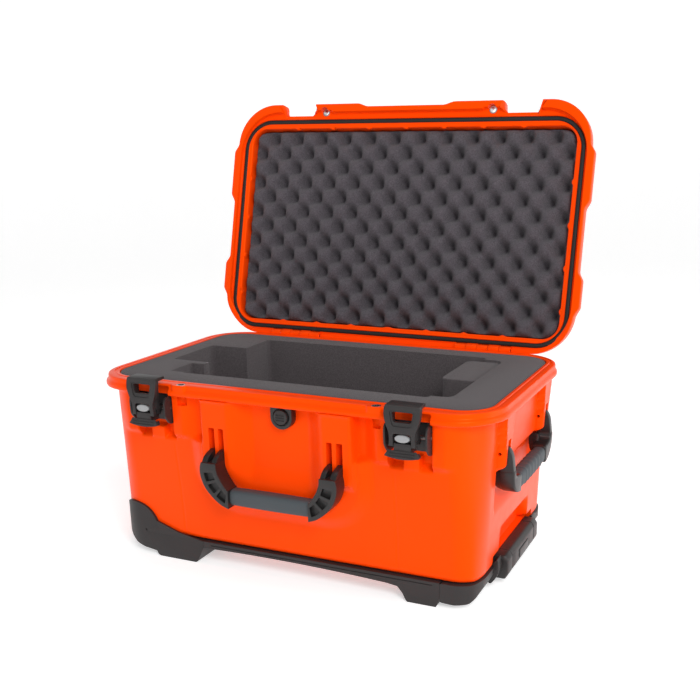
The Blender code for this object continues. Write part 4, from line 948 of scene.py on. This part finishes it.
def build_front_handle():
    """Two curved arms with pockets and prongs, and a plain soft grip."""
    core = (-0.1955, -0.143)
    frame_bar = rod("core", 0.0058, (-0.07, *core), (0.07, *core))
    outer_edge = curve([(0.0998, -0.096), (0.1018, -0.105), (0.1008, -0.117), (0.095, -0.131),
                        (0.084, -0.1435), (0.072, -0.1525), (0.06, -0.1572)])
    inner_edge = curve([(0.0768, -0.096), (0.0766, -0.103), (0.0742, -0.1115), (0.07, -0.1195),
                        (0.066, -0.1255), (0.0625, -0.13), (0.06, -0.1315)])
    parts = []
    for side in (-1, 1):
        arm = plate("arm", [(side * a, b) for a, b in outer_edge + inner_edge[::-1]], "Y", -0.21, -0.186)
        soften(arm, 0.0026, 3, 50.0)
        pockets = []
        for first, last in ((9, 15), (17, 23), (25, 33)):
            lane = [(Vector(inner_edge[k]).lerp(Vector(outer_edge[k]), 0.24),
                     Vector(inner_edge[k]).lerp(Vector(outer_edge[k]), 0.76)) for k in range(first, last + 1)]
            outline = [tuple(a) for a, _ in lane] + [tuple(b) for _, b in lane[::-1]]
            pockets.append(plate("pocket", rounded([(side * a, b) for a, b in outline], 0.001, 2), "Y",
                                 -0.215, -0.204))
        parts.append(carve(arm, pockets))
        for inner, outer in SLOTS:
            x_low, x_high = span(side, inner + 0.0005, outer - 0.0005)
            prong = [*curve([(-0.2092, -0.108), (-0.208, -0.099), (-0.2025, -0.091), (-0.193, -0.086),
                             (-0.18, -0.0842), (-0.1742, -0.09), (-0.1785, -0.0955)], 4),
                     (-0.1888, -0.0975), (-0.1888, -0.108)]
            parts.append(plate("prong", prong, "X", x_low, x_high))
    union(frame_bar, parts)
    carve(frame_bar, [rod("bore", 0.0022, (side * 0.07, *FRONT_PIN), (side * 0.112, *FRONT_PIN), 20)
                      for side in (-1, 1)])
    soften(frame_bar, 0.0005, 2, 55.0)
    put(frame_bar, "front_handle_arms", "front_handle", "black_plastic", ["front_handle_frame"])
    sections = grip_sections((0.0, *core), 0.0616, 0.0112, 0.0127, 0,
                             lambda m, along, wide, high: (along, m[1] + wide, m[2] + high))
    put(loft("grip", sections), "front_handle_soft_grip", "front_handle", "soft_grip", ["front_handle_grip"])


def build_side_handle(side, word):
    """Two curved arms with tongues that reach into the posts, and a ribbed soft grip."""
    body = f"{word}_handle"
    core_x, core_z = side * 0.2915, -0.119
    bar = rod("core", 0.0054, (core_x, -0.07, core_z), (core_x, 0.07, core_z))
    parts = []
    for end in (-1, 1):
        arm = plate("arm", sickle(end, 0.088, 0.099, -0.0935, -0.099, 0.0605, -0.107, -0.1318), "X",
                    *span(side, 0.279, 0.301))
        parts.append(soften(arm, 0.0026, 3, 50.0))
        y_low, y_high = span(end, POST_Y - 0.005, POST_Y + 0.005)
        tongue = curve([(0.2815, -0.1), (0.2798, -0.081), (0.2798, -0.069), (0.286, -0.0626), (0.293, -0.065),
                        (0.2972, -0.074), (0.2988, -0.085), (0.3006, -0.1)], 4)
        parts.append(plate("tongue", [(side * a, b) for a, b in tongue], "Y", y_low, y_high))
        cheek = curve([(0.284, -0.096), (0.276, -0.0962), (0.2706, -0.0985), (0.2712, -0.108),
                       (0.274, -0.119), (0.28, -0.1262), (0.288, -0.13)], 4)
        y_low, y_high = span(end, 0.076, 0.0986)
        wing = plate("cheek", [(side * a, b) for a, b in cheek], "Y", y_low, y_high)
        trim = [(0.0985, -0.09), (0.086, -0.09), (0.074, -0.113),
                *arc((0.0605, -0.099), 0.038, -66, 0, 12, 0.845)]
        trim = plate("trim", [(end * a, b) for a, b in trim], "X", *span(side, 0.26, 0.3))
        combine(wing, "INTERSECT", [trim])
        parts.append(wing)
    union(bar, parts)
    pin_x = side * SIDE_PIN_X
    carve(bar, [rod("bore", 0.0022, (pin_x, end * 0.08, SIDE_PIN_Z), (pin_x, end * 0.11, SIDE_PIN_Z), 20)
                for end in (-1, 1)])
    soften(bar, 0.0006, 2, 55.0)
    put(bar, f"{word}_handle_arms", body, "black_plastic", [f"{word}_handle_frame"])
    sections = grip_sections((core_x, 0.0, core_z), 0.0616, 0.0102, 0.0124, 8,
                             lambda m, along, wide, high: (m[0] + wide, along, m[2] + high))
    put(loft("grip", sections), f"{word}_handle_soft_grip", body, "soft_grip", [f"{word}_handle_grip"])


# ---------------------------------------------------------------- undercarriage
def skid_envelope():
    """Plan that the pieces of the undercarriage are trimmed to."""
    stations = make_stations(2, 2, 2, 16)
    return loft("plan", swept_rows([(SKID, 0.0, -0.27, 0.0), (SKID, 0.0, -0.17, 0.0)], stations))


def build_wheel_housing(side, word):
    """Housing round a wheel, with its foot and a thin lip along its outside."""
    x, z = WHEEL
    skirt = [(-0.134, SKID_TOP), (-0.134, -0.243), (-0.145, FLOOR + 0.002), (-0.148, FLOOR), (-0.209, FLOOR),
             (-0.213, FLOOR + 0.002), (-0.215, -0.26), (-0.236, -0.257), (-0.25, -0.252), (-0.26, -0.244),
             (-0.2675, -0.234), (-0.273, -0.223), (-0.279, -0.213), (-0.285, -0.2043), (-0.25, -0.2043),
             (-0.23, SKID_TOP)]
    y_low, y_high = span(side, 0.099, 0.17)
    housing = plate("housing", rounded(skirt, 0.002, 3), "Y", y_low, y_high)
    union(housing, [plate("arch", arc((x, z), 0.0402, 0, 180, 36), "Y", y_low, y_high)])
    combine(housing, "INTERSECT", [skid_envelope()])
    soften(housing, 0.0018, 3, 40.0)
    lip = [*arc((x, z), 0.0402, 62, 22, 8),
           (-0.175, -0.2255), (-0.1342, -0.2326), (-0.1342, -0.237), (-0.23, -0.237)]
    y_low, y_high = span(side, 0.1645, 0.1674)
    strip = plate("lip", lip, "Y", y_low, y_high)
    w_low, w_high = span(side, 0.1105, 0.1375)
    cuts = [rod("room", 0.036, (x, w_low, z), (x, w_high, z), 48),
            box("mouth", (-0.3, w_low, -0.275), (x, w_high, -0.212)),
            box("floor", (-0.3, w_low, -0.275), (x + 0.036, w_high, z)),
            rod("bore", 0.0043, (x, side * 0.098, z), (x, side * 0.152, z), 24)]
    carve(housing, cuts)
    union(housing, [strip])
    taper(housing)
    put_for(housing, f"wheel_housing_{word}", "moulding", "base", "dark_plastic")


def build_rail(side, word):
    """Rail along the floor with an arched underside and one foot at its end."""
    arch = [(p, -0.2405 - 0.0035 * ((p + 0.02) / 0.15) ** 2) for p in np.linspace(-0.12, 0.15, 12)]
    outline = [(-0.1337, SKID_TOP), (-0.1337, -0.243), *arch, (0.166, -0.247), (0.1735, -0.256),
               (0.1775, -0.264), (0.18, FLOOR), (0.22, FLOOR), (0.224, -0.259), (0.225, -0.252),
               (0.225, SKID_TOP)]
    rail = plate("rail", outline, "Y", *span(side, 0.135, 0.17))
    combine(rail, "INTERSECT", [skid_envelope()])
    y_low, y_high = span(side, 0.1664, 0.18)
    carve(rail, [box("groove", (-0.12, y_low, -0.2374), (0.215, y_high, -0.2362))])
    soften(rail, 0.0014, 3, 40.0)
    put_for(rail, f"bottom_rail_{word}", "moulding", "base", "dark_plastic")


def build_end_bracket(side, word):
    """Bracket under the right end, with an ear beside the pull handle."""
    outline = [(0.2253, SKID_TOP), (0.2253, -0.259), (0.245, -0.26), (0.262, -0.258), (0.275, -0.251),
               (0.283, -0.242), (0.285, -0.234), (0.285, SKID_TOP)]
    bracket = plate("bracket", rounded(outline, 0.003, 3), "Y", *span(side, 0.0765, 0.17))
    combine(bracket, "INTERSECT", [skid_envelope()])
    ear = curve([(0.264, -0.236), (0.264, -0.248), (0.269, -0.256), (0.277, -0.2568), (0.285, -0.25),
                 (0.2896, -0.238), (0.289, -0.226), (0.2872, -0.2215), (0.2852, -0.2235)], 4)
    union(bracket, [plate("ear", ear, "Y", *span(side, 0.0765, 0.093))])
    soften(bracket, 0.0014, 3, 40.0)
    taper(bracket)
    put_for(bracket, f"end_bracket_{word}", "moulding", "base", "dark_plastic")


def turned(name, profile, steps=72):
    """Ring about the wheel axis from a closed profile of (radius, y)."""
    sections = []
    for k in range(steps):
        a = 2 * math.pi * k / steps
        sections.append([(WHEEL[0] + r * math.cos(a), y, WHEEL[1] + r * math.sin(a)) for r, y in profile])
    return loft(name, sections, closed=False)


def build_wheel(side, word):
    low, high = span(side, 0.112, 0.136)
    tread = [(0.0218, low + 0.0006), (0.03, low), (0.0325, low + 0.001), (0.0338, low + 0.0035)]
    for groove in (0.0085, 0.012, 0.0155):
        tread += [(0.034, low + groove - 0.001), (0.033, low + groove - 0.0004),
                  (0.033, low + groove + 0.0004), (0.034, low + groove + 0.001)]
    tread += [(0.0338, high - 0.0035), (0.0325, high - 0.001), (0.03, high), (0.0218, high - 0.0006)]
    put_for(turned("tyre", tread, 96), f"wheel_tyre_{word}", "tread", f"wheel_{word}", "tyre_rubber")
    face = ((0.0068, 0.0008), (0.0105, 0.0008), (0.0115, 0.005), (0.0185, 0.005), (0.0195, 0.001),
            (0.0213, 0.001))
    hub = turned("hub", [(radius, low + inset) for radius, inset in face]
                 + [(radius, high - inset) for radius, inset in face[::-1]])
    holes = []
    for k in range(6):
        a = math.pi * k / 3
        x, z = WHEEL[0] + 0.015 * math.cos(a), WHEEL[1] + 0.015 * math.sin(a)
        holes.append(rod("hole", 0.0026, (x, low - 0.01, z), (x, high + 0.01, z), 20))
    put_for(carve(hub, holes), f"wheel_hub_{word}", "moulding", f"wheel_{word}", "dark_plastic")


# ---------------------------------------------------------------- pull handle and valve
def build_pull_handle():
    """Grip bar with sockets for its tubes and a room for its button."""
    sections = []
    half_bar = ((0.03, 1.0), (0.053, 0.985), (0.0535, 0.955), (0.0555, 0.955), (0.056, 1.0), (0.0725, 1.0),
                (0.0745, 0.94), (0.0753, 0.86))
    for y, share in [(-y, share) for y, share in half_bar[::-1]] + list(half_bar):
        outline = rounded([(0.2662, -0.227), (0.27, -0.2222), (0.2845, -0.2222), (0.2893, -0.229),
                           (0.2893, -0.249), (0.2845, -0.2573), (0.27, -0.2573), (0.2662, -0.251)], 0.0022, 3)
        middle = (0.2778, -0.2398)
        sections.append([(middle[0] + (a - middle[0]) * share, y, middle[1] + (b - middle[1]) * share)
                         for a, b in outline])
    bar = loft("bar", sections)
    cuts = [box("room", (0.279, -0.022, TUBE_Z - 0.0065), (0.3, 0.022, TUBE_Z + 0.0065))]
    for end in (-1, 1):
        cuts.append(box("socket", (0.25, end * 0.052 - 0.0085, TUBE_Z - 0.006),
                        (0.2753, end * 0.052 + 0.0085, TUBE_Z + 0.006)))
    carve(bar, cuts)
    put(bar, "pull_handle_bar", "pull_grip", "dark_plastic", ["pull_handle_grip"])
    button = box("button", (0.2825, -0.0215, TUBE_Z - 0.006), (0.2905, 0.0215, TUBE_Z + 0.006))
    soften(button, 0.0014, 4)
    put_for(button, "pull_handle_button", "cap", "pull_button", "black_plastic")


def build_valve():
    """Plate with a round collar's groove, and a slotted cap."""
    x, wall = VALVE_X, -0.166
    outline = [(x - 0.0158, -0.0168), *arc((x, -0.031), 0.0158, 180, 360, 28), (x + 0.0158, -0.0168)]
    base = plate("valve", outline, "Y", wall - 0.0135, wall + 0.0015)
    rim = plate("rim", arc((x, VALVE_Z), 0.0118, 0, 354, 60), "Y", wall - 0.02, wall - 0.011)
    carve(base, [rim])
    soften(base, 0.0007, 2, 40.0)
    put(base, "valve_plate", "base", "black_plastic", ["valve_body"])
    sections = []
    for height, radius in ((0.0112, 0.0102), (0.015, 0.0102), (0.016, 0.0096), (0.0164, 0.0084)):
        sections.append([(a, wall - height, b) for a, b in arc((x, VALVE_Z), radius, 0, 354, 60)])
    cap = loft("cap", sections)
    slots = [rod("slot", 0.0012, (x - 0.006, wall - 0.0166, level), (x + 0.006, wall - 0.0166, level), 12)
             for level in (-0.0334, -0.03, -0.0266)]
    carve(cap, slots)
    put_for(cap, "valve_cap", "disc", "base", "dark_plastic")


DARK_PINS = ("latch_pin", "latch_claw_pin", "front_handle_pin", "left_handle_pin", "right_handle_pin")


def dress_frame_nodes():
    """Pins, sleeves, tubes and axles keep their CAD shape and get a finished metal or plastic."""
    slots = {part["node"]: part["material_slot"] for part in frame["record"]["subparts"]}
    for name, node in frame["nodes"].items():
        node.data.materials.clear()
        node.data.materials.append(LOOKS["dark_steel" if name.startswith(DARK_PINS) else slots[name]])


# ---------------------------------------------------------------- the case
bpy.context.scene.view_settings.view_transform = "Standard"
make_camera()
make_studio()
dress_frame_nodes()
build_base_shell()
build_hinge_knuckles()
build_lid_shell()
build_gasket()
build_lid_foam()
build_base_foam()
for SIDE, WORD in ((-1, "left"), (1, "right")):
    build_latch(SIDE, WORD)
    build_side_handle(SIDE, WORD)
build_front_handle()
for SIDE, WORD in ((-1, "front"), (1, "back")):
    build_wheel_housing(SIDE, WORD)
    build_rail(SIDE, WORD)
    build_end_bracket(SIDE, WORD)
    build_wheel(SIDE, WORD)
build_pull_handle()
build_valve()
